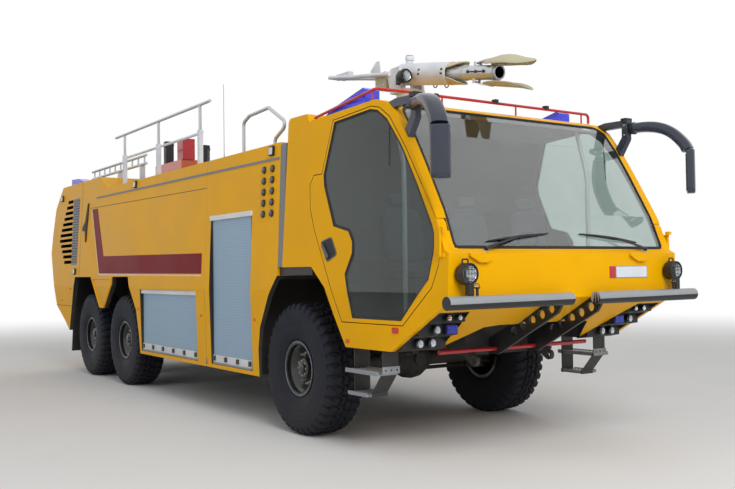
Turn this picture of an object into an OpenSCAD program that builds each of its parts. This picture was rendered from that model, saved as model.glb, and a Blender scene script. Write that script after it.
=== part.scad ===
// Airport fire truck, three axles, cab forward of the front axle.
// X runs from the rear to the front, Y to the left, Z up from the ground.
// Stations along the truck are counted from the front axle, then the whole
// truck is moved so that the origin is under the middle of its length.

/* [Overall] */
// Front axle to the first rear axle
first_wheelbase = 5243; // [5150:1:5400]
// First rear axle to the last axle
tandem_spacing = 1650; // [1640:1:1700]
// Last axle to the rearmost edge of the engine cover
rear_overhang = 2208; // [2150:1:2350]
// Front axle to the flat yellow nose of the cab
cab_front = 2450; // [2430:1:2520]
// Width across the waist crease
body_width = 3000; // [2960:1:3040]
// Height of the waist crease
waist_z = 1468; // [1460:1:1480]
// Underside of the lockers
locker_floor_z = 530; // [500:1:560]
// Top of the body sides
body_top_z = 3020; // [2990:1:3060]
// Top of the raised tail section
tail_top_z = 3230; // [3180:1:3260]
// Underside of the body over the wheels
arch_top_z = 1620; // [1600:1:1660]

/* [Wheels] */
// Radius of a tyre over its lugs
tyre_r = 672; // [650:1:690]
// Width of a tyre
tyre_w = 440; // [420:1:450]
// Centre of a wheel from the truck's centre line
wheel_y = 1220; // [1215:1:1235]
// Radius of the rim's barrel under the tyre bead
rim_r = 262; // [258:1:268]
// Radius of the hub spindle
spindle_r = 60; // [50:1:70]
// Steering pin from the truck's centre line
kingpin_y = 985; // [975:1:990]

/* [Frame] */
// Height of the top of the frame rails
frame_top_z = 1140; // [1120:1:1155]
// Height of a frame rail
rail_h = 280; // [250:1:300]
// Outer faces of the rails from the centre line
rail_y = 430; // [410:1:450]
// Width of a rail flange
rail_flange = 90; // [80:1:100]
// Thickness of the rail's web and flanges
rail_t = 14; // [8:1:20]
// Radius of the tow pin holes
tow_hole_r = 25; // [20:1:30]

/* [Cab] */
// Height of the cab floor
cab_floor_z = 1215; // [1200:1:1240]
// Thickness of the cab walls and doors
wall_t = 55; // [40:1:60]
// Height of the windscreen's lower edge
sill_z = 1820; // [1800:1:1850]
// Thickness of the glass
glass_t = 12; // [8:1:16]
// Gap around a door
door_gap = 8; // [6:1:12]
// Height of the cab roof at its front
roof_z = 3196; // [3180:1:3210]

/* [Lockers] */
// Depth of a shutter below the body's widest line
shutter_inset = 48; // [40:1:60]
// Thickness of a shutter curtain
shutter_t = 24; // [16:1:30]
// Height of the tall shutter's top
tall_shutter_top = 2340; // [2300:1:2400]
// Height of the low shutter's top
low_shutter_top = 1440; // [1400:1:1455]

/* [Engine cover] */
// Number of louvre slots on each side
louvre_count = 12; // [8:1:14]
// Height of one louvre slot
louvre_h = 56; // [40:1:64]
// Thickness of the cover's walls
cover_t = 50; // [40:1:60]

/* [Bumper] */
// Radius of the bumper bar
bar_r = 55; // [45:1:60]
// Height of the bumper bar's axis
bar_z = 1393; // [1380:1:1400]
// End of the bumper bar from the centre line
bar_end_y = 1535; // [1480:1:1560]
// Radius of the holes in the bumper arms
arm_hole_r = 42; // [35:1:48]

/* [Monitor] */
// Radius of the barrel's shroud
shroud_r = 120; // [100:1:130]
// Radius of the inner nozzle
nozzle_r = 74; // [60:1:80]
// Radius of the nozzle's mouth
mouth_r = 58; // [50:1:62]
// Downward tilt of the barrel at rest
barrel_tilt = 10; // [8:1:12]
// Height of the barrel's pivot
pivot_z = 3835; // [3800:1:3860]

/* [Handrails] */
// Distance of a handrail from the centre line
handrail_y = 1330; // [1310:1:1350]
// Height of the top rail
handrail_top_z = 3800; // [3750:1:3850]
// Height of the middle rail
handrail_mid_z = 3470; // [3440:1:3500]

/* [Hidden] */
$fn = 48;
e = 0.3;              // running clearance between separate pieces
far = 9000;           // longer than any cut needs

// Stations from the front axle
mid_axle_x = -first_wheelbase;
rear_axle_x = mid_axle_x - tandem_spacing;
tail_x = rear_axle_x - rear_overhang;
cover_front_x = rear_axle_x - 408;
module_seam_x = -2110;
front_body_x = -270;
cab_rear_x = -160;
bar_x = cab_front + 110;
front_reach = bar_x + bar_r;
front_axle_x = (-tail_x - front_reach) / 2;   // shift that centres the truck
axle_z = tyre_r;
rail_bottom_z = frame_top_z - rail_h;
tunnel_y = 620;       // half width of the space for the frame under the body
arch_wall_y = 600;    // inner side of the wheel arches
seam = 4;             // gap between body modules
half = body_width / 2;
deck_y = half - 250;  // half width of the sunk deck
deck_z = body_top_z - 90;

// Slopes of the body sides, in mm of lean per mm
lean_up = 0.042;
lean_down = 0.030;
cab_taper = 0.028;

function lean(z) = z > waist_z ? lean_up * (z - waist_z) : lean_down * (waist_z - z);
function half_w(z, inset = 0) = body_width / 2 - inset - lean(z);
function flip_y(points) = [for (p = points) [p[0], -p[1]]];
function reversed(v) = [for (i = [len(v) - 1:-1:0]) v[i]];
function unit(v) = v / norm(v);
function normal_of(a, b) = [unit(b - a)[1], -unit(b - a)[0]];

// Closed outline moved sideways by d at every corner, positive to the right of its direction
function outline_offset(points, d) = [
  for (i = [0:len(points) - 1])
    let (n = len(points),
         m = normal_of(points[(i + n - 1) % n], points[i]),
         k = normal_of(points[i], points[(i + 1) % n]))
      points[i] + (m + k) * d / (1 + m * k)];

// Open line moved sideways by d
function line_offset(points, d) = [
  for (i = [0:len(points) - 1])
    let (m = normal_of(points[max(i - 1, 0)], points[max(i, 1)]),
         k = normal_of(points[min(i, len(points) - 2)], points[min(i + 1, len(points) - 1)]))
      points[i] + (m + k) * d / (1 + m * k)];

module on_truck() translate([front_axle_x, 0, 0]) children();

// Outline in X and Z, extruded from y1 to y2
module side_slab(points, y1, y2)
  translate([0, y2, 0]) rotate([90, 0, 0]) linear_extrude(y2 - y1) polygon(points);

// Outline in Y and Z, extruded from x1 to x2
module front_slab(points, x1, x2)
  translate([x1, 0, 0]) rotate([90, 0, 90]) linear_extrude(x2 - x1) polygon(points);

// Outline in X and Y, extruded from z1 to z2
module plan_slab(points, z1, z2)
  translate([0, 0, z1]) linear_extrude(z2 - z1) polygon(points);

module block(x1, x2, y1, y2, z1, z2)
  translate([x1, y1, z1]) cube([x2 - x1, y2 - y1, z2 - z1]);

module both_sides() {
  children();
  mirror([0, 1, 0]) children();
}

module rod(a, b, r, fn = 24) {
  d = b - a;
  len = norm(d);
  translate(a) rotate([0, acos(d[2] / len), atan2(d[1], d[0])])
    cylinder(h = len, r = r, $fn = fn);
}

// Bent tube through a list of points, every corner a bend of the same radius
// with a low collar where it meets the straight lengths
module tube(points, r, bend, collar = 0.8) {
  last = len(points) - 1;
  turn = [for (i = [0:last]) i == 0 || i == last ? 0
    : acos(unit(points[i] - points[i - 1]) * unit(points[i + 1] - points[i]))];
  cut = [for (t = turn) bend * tan(t / 2)];
  for (i = [0:last - 1]) {
    along = unit(points[i + 1] - points[i]);
    a = points[i] + along * cut[i];
    b = points[i + 1] - along * cut[i + 1];
    rod(i == 0 ? a : a + along, i == last - 1 ? b : b - along, r);
    if (i > 0) rod(a - 4 * along, a + 4 * along, r + collar);
    if (i < last - 1) rod(b - 4 * along, b + 4 * along, r + collar);
  }
  for (i = [1:last - 1]) {
    along = unit(points[i] - points[i - 1]);
    next = unit(points[i + 1] - points[i]);
    inward = unit(next - along * (along * next));
    centre = points[i] - along * cut[i] + inward * bend;
    side = cross(-inward, along);
    multmatrix([for (k = [0:2]) [-inward[k], along[k], side[k], centre[k]]])
      rotate_extrude(angle = turn[i], $fn = 48) translate([bend, 0]) circle(r = r, $fn = 24);
  }
}

// Cross-section of the body between two heights, leaning in above and below the waist
function body_section(z1, z2, inset = 0) =
  let (zs = z1 < waist_z && z2 > waist_z ? [z1, waist_z, z2] : [z1, z2])
    concat([for (z = zs) [half_w(z, inset), z]], [for (z = reversed(zs)) [-half_w(z, inset), z]]);

// Running gear

module rail_pair(x1, x2)
  both_sides() difference() {
    block(x1, x2, rail_y - rail_flange, rail_y, rail_bottom_z, frame_top_z);
    block(x1 - 1, x2 + 1, rail_y - rail_flange - 1, rail_y - rail_t,
      rail_bottom_z + rail_t, frame_top_z - rail_t);
  }

frame_front_x = 1620;
frame_rear_x = tail_x + 520;
cross_members = [-700, -1650, -2100, -3300, -4300, -7600];
tow_eye_r = 48;
tow_eye_drop = 48;    // below the bottom of the rails

// Plate with an eye ahead of and below its root, in X and Z
module tow_eye()
  rotate([90, 0, 0]) linear_extrude(40, center = true) difference() {
    union() {
      circle(r = tow_eye_r);
      polygon([[0, tow_eye_r], [-44, tow_eye_drop + 60], [-120, tow_eye_drop + 60],
        [-120, tow_eye_drop - 30], [-30, -tow_eye_r + 10.5]]);
    }
    circle(r = tow_hole_r);
  }

module chassis_frame()
  color("dimgray") on_truck() {
    rail_pair(frame_rear_x, frame_front_x - 120);
    for (x = cross_members)
      block(x, x + 90, -rail_y + rail_t, rail_y - rail_t, rail_bottom_z + 40, frame_top_z - 40);
    // front cross-beam with two towing eyes
    block(frame_front_x - 120, frame_front_x, -560, 560, rail_bottom_z, frame_top_z);
    both_sides() translate([frame_front_x + 45, 480, rail_bottom_z - tow_eye_drop]) tow_eye();
    // rear cross-beam with a hitch plate, its pin hole upright
    block(frame_rear_x - 100, frame_rear_x, -560, 560, rail_bottom_z, frame_top_z);
    difference() {
      plan_slab([[frame_rear_x - 100, 110], [frame_rear_x - 200, 60], [frame_rear_x - 200, -60],
        [frame_rear_x - 100, -110]], rail_bottom_z + 60, rail_bottom_z + 100);
      translate([frame_rear_x - 150, 0, 0]) cylinder(h = far, r = tow_hole_r);
    }
    // pads that carry the cab
    both_sides() for (x = [900, frame_front_x - 120])
      block(x, x + 100, rail_y - rail_flange, rail_y, frame_top_z, frame_top_z + 20);
  }

module driveline()
  color("dimgray") on_truck() {
    // transfer box, hung from two cross-members
    block(-2150, -1500, -230, 260, 640, rail_bottom_z + 40 - e);
    // propeller shafts, each with a flange at the axle
    shaft_z = 780;
    rod([-1510, 0, shaft_z], [-255, 0, axle_z + pinion_rise], 50);
    rod([-2140, 0, shaft_z], [mid_axle_x + 255, 0, axle_z + pinion_rise], 50);
    rod([mid_axle_x - pinion_len - e, 0, axle_z + pinion_rise],
      [rear_axle_x + pinion_len + e, 0, axle_z + pinion_rise], 50);
    rod([-pinion_len - e, 0, axle_z + pinion_rise], [-262, 0, axle_z + pinion_rise], 72);
    rod([mid_axle_x + pinion_len + e, 0, axle_z + pinion_rise],
      [mid_axle_x + 262, 0, axle_z + pinion_rise], 72);
  }

leaf_w = 80;
leaf_t = 16;
leaf_count = 4;
seat_h = 80;          // spring seat above an axle's centre
pinion_len = 219;
pinion_rise = 20;
spring_z = axle_z + seat_h;
spring_top_z = spring_z + leaf_t * leaf_count;

// Leaves that get shorter towards the clamp: downwards at the front, upwards at the back
module leaf_pack(x, half_len, inverted)
  for (i = [0:leaf_count - 1]) {
    z = inverted ? spring_z + leaf_t * i : spring_top_z - leaf_t * (i + 1);
    block(x - half_len + i * 110, x + half_len - i * 110, rail_y - leaf_w, rail_y, z, z + leaf_t);
  }

module suspension()
  color("dimgray") on_truck() both_sides() {
    // front springs under the rails
    leaf_pack(0, 640, false);
    for (x = [-640, 560])
      block(x, x + 80, rail_y - leaf_w, rail_y, spring_top_z, rail_bottom_z - e);
    // tandem springs clamped under the rails between the rear axles
    centre = (mid_axle_x + rear_axle_x) / 2;
    leaf_pack(centre, tandem_spacing / 2 + 60, true);
    block(centre - 120, centre + 120, rail_y - leaf_w, rail_y, spring_top_z, rail_bottom_z - e);
  }

// Round housing with its axis along Y, from radius and y pairs
module turned_y(profile, fn = 48)
  rotate([-90, 0, 0]) rotate_extrude($fn = fn) polygon(profile);

banjo_profile = [[0, -260], [75, -260], [120, -210], [190, -90], [205, 0], [190, 90],
                 [120, 210], [75, 260], [0, 260]];

module axle_beam(half_len)
  translate([0, 0, axle_z]) {
    turned_y(banjo_profile);
    rotate([90, 0, 0]) cylinder(h = 2 * half_len, r = 75, center = true);
    // drive flanges
    for (dir = [-1, 1])
      translate([0, 0, pinion_rise]) rotate([0, 90 * dir, 0]) cylinder(h = pinion_len, r = 72);
    // spring seats
    both_sides() block(-70, 70, rail_y - leaf_w, rail_y, 0, seat_h - e);
  }

yoke_back_y = kingpin_y - 85;
lug_z = 105;
pin_r = 30;

module front_axle()
  color("dimgray") on_truck() {
    axle_beam(yoke_back_y);
    both_sides() translate([0, 0, axle_z]) difference() {
      union() {
        block(-70, 70, yoke_back_y - 30, yoke_back_y, -145, 145);
        for (z = [lug_z, -145]) block(-70, 70, yoke_back_y, kingpin_y + 45, z, z + 40);
      }
      translate([0, kingpin_y, -200]) cylinder(h = 400, r = pin_r + 0.08);
    }
  }

module rear_axles()
  color("dimgray") on_truck() for (x = [mid_axle_x, rear_axle_x]) translate([x, 0, 0]) {
    axle_beam(wheel_y - 110);
    both_sides() translate([0, wheel_y - 111, axle_z]) rotate([-90, 0, 0])
      cylinder(h = 196, r = spindle_r - 0.08);
  }

arm_x = -260;         // steering arm eye behind the steering pin
arm_z = -78;

module knuckle(side)
  on_truck() translate([0, side * kingpin_y, axle_z]) {
    cylinder(h = 290, r = pin_r, center = true);
    cube([110, 80, 2 * (lug_z - e)], center = true);
    rotate([-90 * side, 0, 0]) cylinder(h = wheel_y - kingpin_y + 85, r = spindle_r - 0.08);
    difference() {
      union() {
        block(arm_x, -40, -22, 22, arm_z - 18, arm_z + 18);
        translate([arm_x, 0, arm_z]) cylinder(h = 36, r = 38, center = true);
      }
      translate([arm_x, 0, arm_z]) cylinder(h = 60, r = 18.08, center = true);
    }
  }

module tie_rod()
  color("dimgray") on_truck() translate([arm_x, 0, axle_z + arm_z]) {
    drop = 62;
    rotate([90, 0, 0]) translate([0, -drop, 0])
      cylinder(h = 2 * kingpin_y - 60, r = 22, center = true, $fn = 24);
    both_sides() {
      translate([0, kingpin_y, -drop]) cylinder(h = 44, r = 34, center = true);
      translate([0, kingpin_y, -drop]) cylinder(h = drop + 30, r = 18);
    }
  }

// Half profile of the tyre: radius and distance from the wheel's middle plane
bead_w = 163;
tyre_half = [
  [rim_r, bead_w], [rim_r + 24, bead_w], [rim_r + 46, bead_w + 24],
  [0.58 * tyre_r, tyre_w / 2 - 6], [0.72 * tyre_r, tyre_w / 2], [0.86 * tyre_r, tyre_w / 2 - 4],
  [0.95 * tyre_r, tyre_w / 2 - 16], [tyre_r, tyre_w / 2 - 52]];

module tyre()
  turned_y(concat(tyre_half, flip_y(reversed(tyre_half))));

// Rim, disc and hub in one turned piece, its outer side towards +Y
rim_profile = [
  [spindle_r, -92], [118, -92], [118, 22], [190, 30], [225, 80], [rim_r - 13, 105],
  [rim_r - 13, -bead_w - 15], [rim_r + 22, -bead_w - 15], [rim_r + 22, -bead_w - e],
  [rim_r - e, -bead_w - e], [rim_r - e, bead_w + e], [rim_r + 22, bead_w + e],
  [rim_r + 22, bead_w + 15], [rim_r - 13, bead_w + 15], [rim_r - 13, 132], [222, 106],
  [188, 54], [128, 52], [110, 62], [104, 128], [92, 138], [0, 138], [0, 92], [spindle_r, 92]];

module rim() turned_y(rim_profile);

module wheel_place(x, side)
  on_truck() translate([x, side * wheel_y, axle_z]) mirror([0, side < 0 ? 1 : 0, 0]) children();

module tyre_front_left() color("black") wheel_place(0, 1) tyre();
module tyre_front_right() color("black") wheel_place(0, -1) tyre();
module tyre_middle_left() color("black") wheel_place(mid_axle_x, 1) tyre();
module tyre_middle_right() color("black") wheel_place(mid_axle_x, -1) tyre();
module tyre_rear_left() color("black") wheel_place(rear_axle_x, 1) tyre();
module tyre_rear_right() color("black") wheel_place(rear_axle_x, -1) tyre();
module rim_front_left() color("gray") wheel_place(0, 1) rim();
module rim_front_right() color("gray") wheel_place(0, -1) rim();
module rim_middle_left() color("gray") wheel_place(mid_axle_x, 1) rim();
module rim_middle_right() color("gray") wheel_place(mid_axle_x, -1) rim();
module rim_rear_left() color("gray") wheel_place(rear_axle_x, 1) rim();
module rim_rear_right() color("gray") wheel_place(rear_axle_x, -1) rim();
module knuckle_left() color("dimgray") knuckle(1);
module knuckle_right() color("dimgray") knuckle(-1);

// Body

module engine_block()
  color("dimgray") on_truck()
    block(tail_x + 500, cover_front_x - 60, -500, 500, frame_top_z, 2150);

// Wheel arch outlines in X and Z
front_arch = [
  [-730, locker_floor_z - 50], [-730, 820], [-680, 1060], [-460, 1416], [-270, arch_top_z]];
rear_arch = [
  [mid_axle_x + 843, locker_floor_z - 50], [mid_axle_x + 803, 790], [mid_axle_x + 715, 1142],
  [mid_axle_x + 433, 1490], [mid_axle_x + 382, arch_top_z],
  [cover_front_x - 232, arch_top_z], [cover_front_x - 700, locker_floor_z - 50]];
spat = [
  [mid_axle_x - 318, arch_top_z], [mid_axle_x - 318, 1505], [mid_axle_x - 722, 1130],
  [rear_axle_x + 710, 1130], [rear_axle_x + 380, 1520], [rear_axle_x + 262, arch_top_z]];
steer_pocket_x = -900; // rear wall of the front arch behind the skin

module frame_tunnel() block(-far, far, -tunnel_y, tunnel_y, 0, frame_top_z);

tall_shutter = [-1970, -880];  // rear and front ends
low_shutter = [-4345, -2375];

module shutter_pocket(span, top, y_face)
  both_sides() block(span[0], span[1], y_face - shutter_t - e, body_width, locker_floor_z + 45, top);

shutter_y = body_width / 2 - shutter_inset;

module front_body()
  color("goldenrod") on_truck() difference() {
    front_slab(body_section(locker_floor_z, body_top_z), module_seam_x + seam, front_body_x);
    frame_tunnel();
    both_sides() side_slab(concat(front_arch, [[far, arch_top_z], [far, 0]]), arch_wall_y, body_width);
    both_sides() block(steer_pocket_x, 0, arch_wall_y, half_w(waist_z) - 60, 0, arch_top_z - 40);
    block(-far, front_body_x + 1 - 80, -deck_y, deck_y, deck_z, far);
    shutter_pocket(tall_shutter, tall_shutter_top, shutter_y);
  }

rear_top = [
  [cover_front_x + e, tail_top_z], [rear_axle_x + 542, tail_top_z],
  [rear_axle_x + 971, body_top_z]];

module rear_body()
  color("goldenrod") on_truck() difference() {
    intersection() {
      front_slab(body_section(locker_floor_z, tail_top_z + 20), cover_front_x + e, module_seam_x);
      side_slab(concat(rear_top, [[module_seam_x, body_top_z], [module_seam_x, 0], [cover_front_x + e, 0]]),
        -body_width, body_width);
    }
    frame_tunnel();
    both_sides() difference() {
      side_slab(rear_arch, arch_wall_y, body_width);
      side_slab(spat, half_w(waist_z) - 70, body_width);
    }
    block(rear_axle_x + 1000, module_seam_x + 1, -deck_y, deck_y, deck_z, far);
    shutter_pocket(low_shutter, low_shutter_top, shutter_y);
  }

cover_outline = [
  [cover_front_x, tail_top_z], [cover_front_x, arch_top_z], [cover_front_x - 232, arch_top_z],
  [cover_front_x - 624, 695], [cover_front_x - 900, 860], [tail_x + 410, 1114],
  [tail_x + 130, 1750], [tail_x, 2060], [tail_x + 70, 2400], [tail_x + 220, 2870],
  [tail_x + 640, tail_top_z]];

louvre_top_z = 2965;
louvre_pitch = 96;
louvre_front_x = cover_front_x - 490;
// Rear end of a slot: furthest back at the waist of the panel, forward above and below
function louvre_rear_x(z) = cover_front_x - 1280 + 0.76 * abs(z - 2300) * (z > 2300 ? 0.98 : 1.1);

module cover_shell(inset)
  intersection() {
    front_slab(body_section(600, tail_top_z + 20, inset), tail_x - 10, cover_front_x);
    side_slab(outline_offset(cover_outline, inset), -body_width, body_width);
  }

module engine_cover()
  color("goldenrod") on_truck() difference() {
    cover_shell(0);
    cover_shell(cover_t);
    // open towards the tank module and above the frame
    block(cover_front_x - 2 * cover_t, cover_front_x + 1, -deck_y, deck_y, arch_top_z + 20, tail_top_z - 60);
    block(tail_x + 300, cover_front_x + 1, -tunnel_y, tunnel_y, 600, arch_top_z + cover_t + 10);
    both_sides() for (i = [0:louvre_count - 1]) {
      z = louvre_top_z - i * louvre_pitch - louvre_h;
      block(louvre_rear_x(z + louvre_h / 2), louvre_front_x, deck_y, body_width, z, z + louvre_h);
    }
  }

module shutter(span, top)
  both_sides() block(span[0] + e, span[1] - e, shutter_y - shutter_t, shutter_y,
    locker_floor_z + 45 + e, top - e);

module shutters()
  color("lightsteelblue") on_truck() {
    shutter(tall_shutter, tall_shutter_top);
    shutter(low_shutter, low_shutter_top);
  }

// Round caps in two columns of five beside the cab
cap_x = [-610, -420];
cap_top_z = 2757;
cap_pitch = 119;
side_lamps = [[-440, 2945, 90], [-4650, 2960, 80]];
markers = [[-800, 1143], [-2225, 1140]];

// Place on the left side of the body, Y pointing straight out of the leaning panel
module on_side(x, z)
  translate([x, half_w(z), z]) rotate([z > waist_z ? atan(lean_up) : -atan(lean_down), 0, 0])
    translate([0, e, 0]) children();

module side_fittings()
  color("gray") on_truck() both_sides() {
    for (x = cap_x, i = [0:4]) {
      z = cap_top_z - i * cap_pitch;
      on_side(x, z) rotate([-90, 0, 0]) cylinder(h = 22, r = 34, $fn = 24);
    }
    for (l = side_lamps)
      on_side(l[0], l[1]) translate([-l[2] / 2, 0, -l[2] / 2]) cube([l[2], 16, l[2]]);
    for (m = markers)
      on_side(m[0], m[1]) translate([-22, 0, -12]) cube([44, 10, 24]);
  }

module mudguards()
  color("dimgray") on_truck() both_sides() {
    // flap behind the last wheel
    line = line_offset([cover_outline[2] - [0, 0.5], cover_outline[3], [tail_x + 1115, 330]], -2 * e);
    side_slab(concat(line, reversed([for (p = line) p + [28, 0]])), wheel_y - 210, half_w(waist_z) - 75);
    // grey splash panel under the rear of the cab
    block(front_body_x + e, 398, wheel_y - 210, half_w(waist_z) - 40, arch_top_z + 5, 1705 - e);
  }

// Cab

// Side outline, from the bottom rear corner round by the roof, nose and chin
screen_line = [
  [cab_front - 850, 3140], [cab_front - 740, 3040], [cab_front - 600, 2850], [cab_front - 430, 2570],
  [cab_front - 190, 2150], [cab_front - 55, sill_z]];
cab_outline = concat(
  [[cab_rear_x, 1705], [cab_rear_x + 55, 3205], [cab_rear_x + 90, 3238], [250, 3238], [300, roof_z - 42],
   [cab_front - 1040, roof_z]],
  screen_line,
  [[cab_front, sill_z - 30], [cab_front, 1400], [1665, 955], [975, 955], [795, 1245], [650, 1500],
   [400, 1705]]);

// Half space with the leaning side of the cab on its right, turned inwards by the taper
module cab_side_wall(inset)
  translate([cab_rear_x, 0, 0]) rotate([0, 0, atan(cab_taper)]) translate([-cab_rear_x, 0, 0])
    front_slab([
      [-half_w(900, inset), 900], [-half_w(waist_z, inset), waist_z],
      [-half_w(3300, inset), 3300], [far, 3300], [far, 900]], -2000, 4000);

module cab_form(inset)
  intersection() {
    side_slab(outline_offset(cab_outline, inset), -body_width, body_width);
    cab_side_wall(inset);
    mirror([0, 1, 0]) cab_side_wall(inset);
  }

module cab_walls()
  difference() {
    cab_form(0);
    intersection() {
      cab_form(wall_t);
      block(-far, far, -far, far, cab_floor_z, far);
    }
  }

// Side glass and door outlines in X and Z
glass_outline = [
  [585, 2590], [755, 3085], [1337, 3120], [1450, 3095], [1596, 2995], [1818, 2728], [2045, 2368],
  [2240, 2027], [2275, 1928], [2262, 1785], [2205, 1577], [1828, 1225], [1100, 1225], [985, 1632],
  [1095, 1820], [1095, 1925], [1030, 2024], [778, 2083], [600, 2480]];
door_outline = [
  [560, 2600], [735, 3100], [1345, 3140], [1475, 3110], [1630, 3005], [1870, 2700], [2085, 2380],
  [2305, 2040], [2350, 1880], [2325, 1700], [2240, 1510], [1845, 1190], [930, 1190], [440, 2080],
  [362, 2280], [348, 2515], [410, 2600]];

screen_y = half - 200; // half width of the windscreen
module windscreen_prism(grow = 0)
  front_slab([
    [-screen_y - grow, sill_z + 14 - grow], [screen_y + grow, sill_z + 14 - grow],
    [screen_y - 8 + grow, 3050], [screen_y - 70, 3112 + grow], [70 - screen_y, 3112 + grow],
    [8 - screen_y - grow, 3050]],
    cab_front - 1040, cab_front + 50);

chin_opening = [
  [900, half - 620], [1665, half - 600], [2000, 660], [2040, 430], [2040, -430], [2000, -660],
  [1665, 600 - half], [900, 620 - half]];

// Stepped lamp panel: line in X and Z that its lamps stand on, and outline in X and Y
chin_slope = 445 / 785;
function chin_z(x) = 1400 + chin_slope * (x - cab_front);
lamp_x = [1773, 2011, 2182];
lamp_z = [1018, 1148, 1256];
lamp_panel_t = 16;
lamp_steps = [
  [1650, chin_z(1650) - 2], [lamp_x[0], lamp_z[0] - 48], [lamp_x[0], lamp_z[0] + 44],
  [lamp_x[1], lamp_z[1] - 48], [lamp_x[1], lamp_z[1] + 42], [lamp_x[2], lamp_z[2] - 34],
  [lamp_x[2], lamp_z[2] + 30], [2290, chin_z(2290) - 2]];
lamp_plan = [
  [1660, half - 620], [1660, half - 115], [2285, half - 115], [2285, half - 438], [2060, half - 515]];

hinge_x = cab_front - 88;
hinge_y = half - 70;
hinge_r = 14;
hinge_pin_r = 7;
hinge_z = [1760, 1790, 1970, 2000];

module cab_shell()
  color("goldenrod") on_truck() {
    cab_body();
    // door hinge pins between two lugs on the front pillar
    both_sides() translate([hinge_x, hinge_y, 0]) {
      translate([0, 0, hinge_z[0]]) cylinder(h = hinge_z[3] - hinge_z[0], r = hinge_pin_r);
      for (i = [0, 2]) {
        translate([0, 0, hinge_z[i]]) cylinder(h = 30, r = hinge_r);
        block(-4, 40, -36, 4, hinge_z[i], hinge_z[i] + 30);
      }
    }
  }

module cab_body()
  difference() {
    cab_walls();
    windscreen_prism();
    both_sides() side_slab(outline_offset(door_outline, -door_gap), screen_y + 10, body_width);
    block(-far, 2100, -520, 520, 0, frame_top_z + 20);
    plan_slab(chin_opening, 0, frame_top_z + 20);
    both_sides() {
      // groove for a bumper arm and recess for a lamp panel in the chin
      translate([0, arm_y, 0]) side_slab(outline_offset(arm_outline, -8), -arm_t / 2 - 8, arm_t / 2 + 8);
      intersection() {
        side_slab(concat(line_offset(lamp_steps, -lamp_panel_t - e), [[far, 0], [0, 0]]), 0, body_width);
        plan_slab(outline_offset(lamp_plan, -e), 0, far);
      }
    }
  }

module cab_interior()
  color("slategray") on_truck() {
    // seats: cushion, back and plinth
    for (y = [-820, 0, 820]) {
      x = 1250;
      block(x - 230, x + 200, y - 170, y + 170, cab_floor_z, 1560);
      block(x - 260, x + 260, y - 250, y + 250, 1560, 1680);
      side_slab([[x - 260, 1680], [x - 140, 1680], [x - 250, 2400], [x - 340, 2400]], y - 240, y + 240);
    }
    // dash across the nose
    side_slab([[1950, cab_floor_z], [2005, cab_floor_z], [2330, 1450], [2362, 1740], [2250, 1790],
      [1965, 1705], [1940, 1560], [2030, 1500]], 220 - half, half - 220);
    // steering column and wheel
    rod([2000, 0, 1600], [1745, 0, 1845], 28);
    translate([1745, 0, 1845]) rotate([0, -46, 0]) rotate_extrude() translate([215, 0]) circle(r = 17, $fn = 16);
    translate([1745, 0, 1845]) rotate([0, -46, 0]) cube([34, 420, 20], center = true);
  }

module windscreen()
  color("lightblue") on_truck() intersection() {
    side_slab(concat(line_offset(screen_line, 2), reversed(line_offset(screen_line, 2 + glass_t))),
      -half, half);
    windscreen_prism(-e);
  }

module door(side)
  on_truck() mirror([0, side < 0 ? 1 : 0, 0]) difference() {
    union() {
      intersection() {
        difference() {
          cab_form(0);
          cab_form(wall_t);
        }
        side_slab(door_outline, screen_y + 18, body_width);
      }
      // hinge leaf and knuckle on the outside of the panel
      z1 = hinge_z[1] + e;
      z2 = hinge_z[2] - e;
      block(hinge_x - 72, hinge_x - 40, hinge_y - 32, hinge_y + 2, z1, z2);
      block(hinge_x - 52, hinge_x, hinge_y - 10, hinge_y + 2, z1, z2);
      translate([hinge_x, hinge_y, z1]) cylinder(h = z2 - z1, r = hinge_r - 2);
    }
    side_slab(glass_outline, screen_y - 300, body_width);
    translate([hinge_x, hinge_y, 0]) cylinder(h = far, r = hinge_pin_r + 0.08);
  }

module door_glass(side)
  on_truck() mirror([0, side < 0 ? 1 : 0, 0]) intersection() {
    difference() {
      cab_form(10);
      cab_form(10 + glass_t);
    }
    side_slab(outline_offset(glass_outline, e), screen_y - 200, body_width);
  }

module door_left() color("goldenrod") door(1);
module door_right() color("goldenrod") door(-1);
module door_glass_left() color("lightblue") door_glass(1);
module door_glass_right() color("lightblue") door_glass(-1);

// Front equipment

arm_y = 250;
arm_t = 30;
arm_slope = 410 / 880;
arm_half = 78;
chin_pipe = [frame_front_x + 90, 919];
chin_pipe_r = 20;
function arm_mid(x) = 935 + arm_slope * (x - frame_front_x);
arm_outline = [
  [frame_front_x, rail_bottom_z], [frame_front_x, arm_mid(frame_front_x) + arm_half],
  [2430, arm_mid(2430) + arm_half], [bar_x, bar_z + 20], [bar_x, bar_z - 40],
  [2500, arm_mid(2500) - arm_half], [frame_front_x + 125, rail_bottom_z + 8]];
module bumper()
  color("gray") on_truck() both_sides() {
    // bar half
    translate([bar_x, 155, bar_z]) rotate([-90, 0, 0]) cylinder(h = bar_end_y - 155, r = bar_r);
    // pierced arm down to the frame's front beam
    difference() {
      side_slab(arm_outline, arm_y - arm_t / 2, arm_y + arm_t / 2);
      for (x = [1965:115:2425])
        translate([x, arm_y, arm_mid(x) - 4]) rotate([90, 0, 0])
          cylinder(h = 100, r = arm_hole_r, center = true, $fn = 32);
      translate([chin_pipe[0], arm_y, chin_pipe[1]]) rotate([90, 0, 0])
        cylinder(h = 100, r = chin_pipe_r + e, center = true, $fn = 24);
    }
  }

// Lamps on the steps of the panel: step, distance from the centre line, radius
step_lamps = [
  [0, half - 274, 42], [0, half - 412, 42], [1, half - 277, 40], [1, half - 438, 36],
  [2, half - 271, 28], [2, half - 389, 24]];

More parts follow.
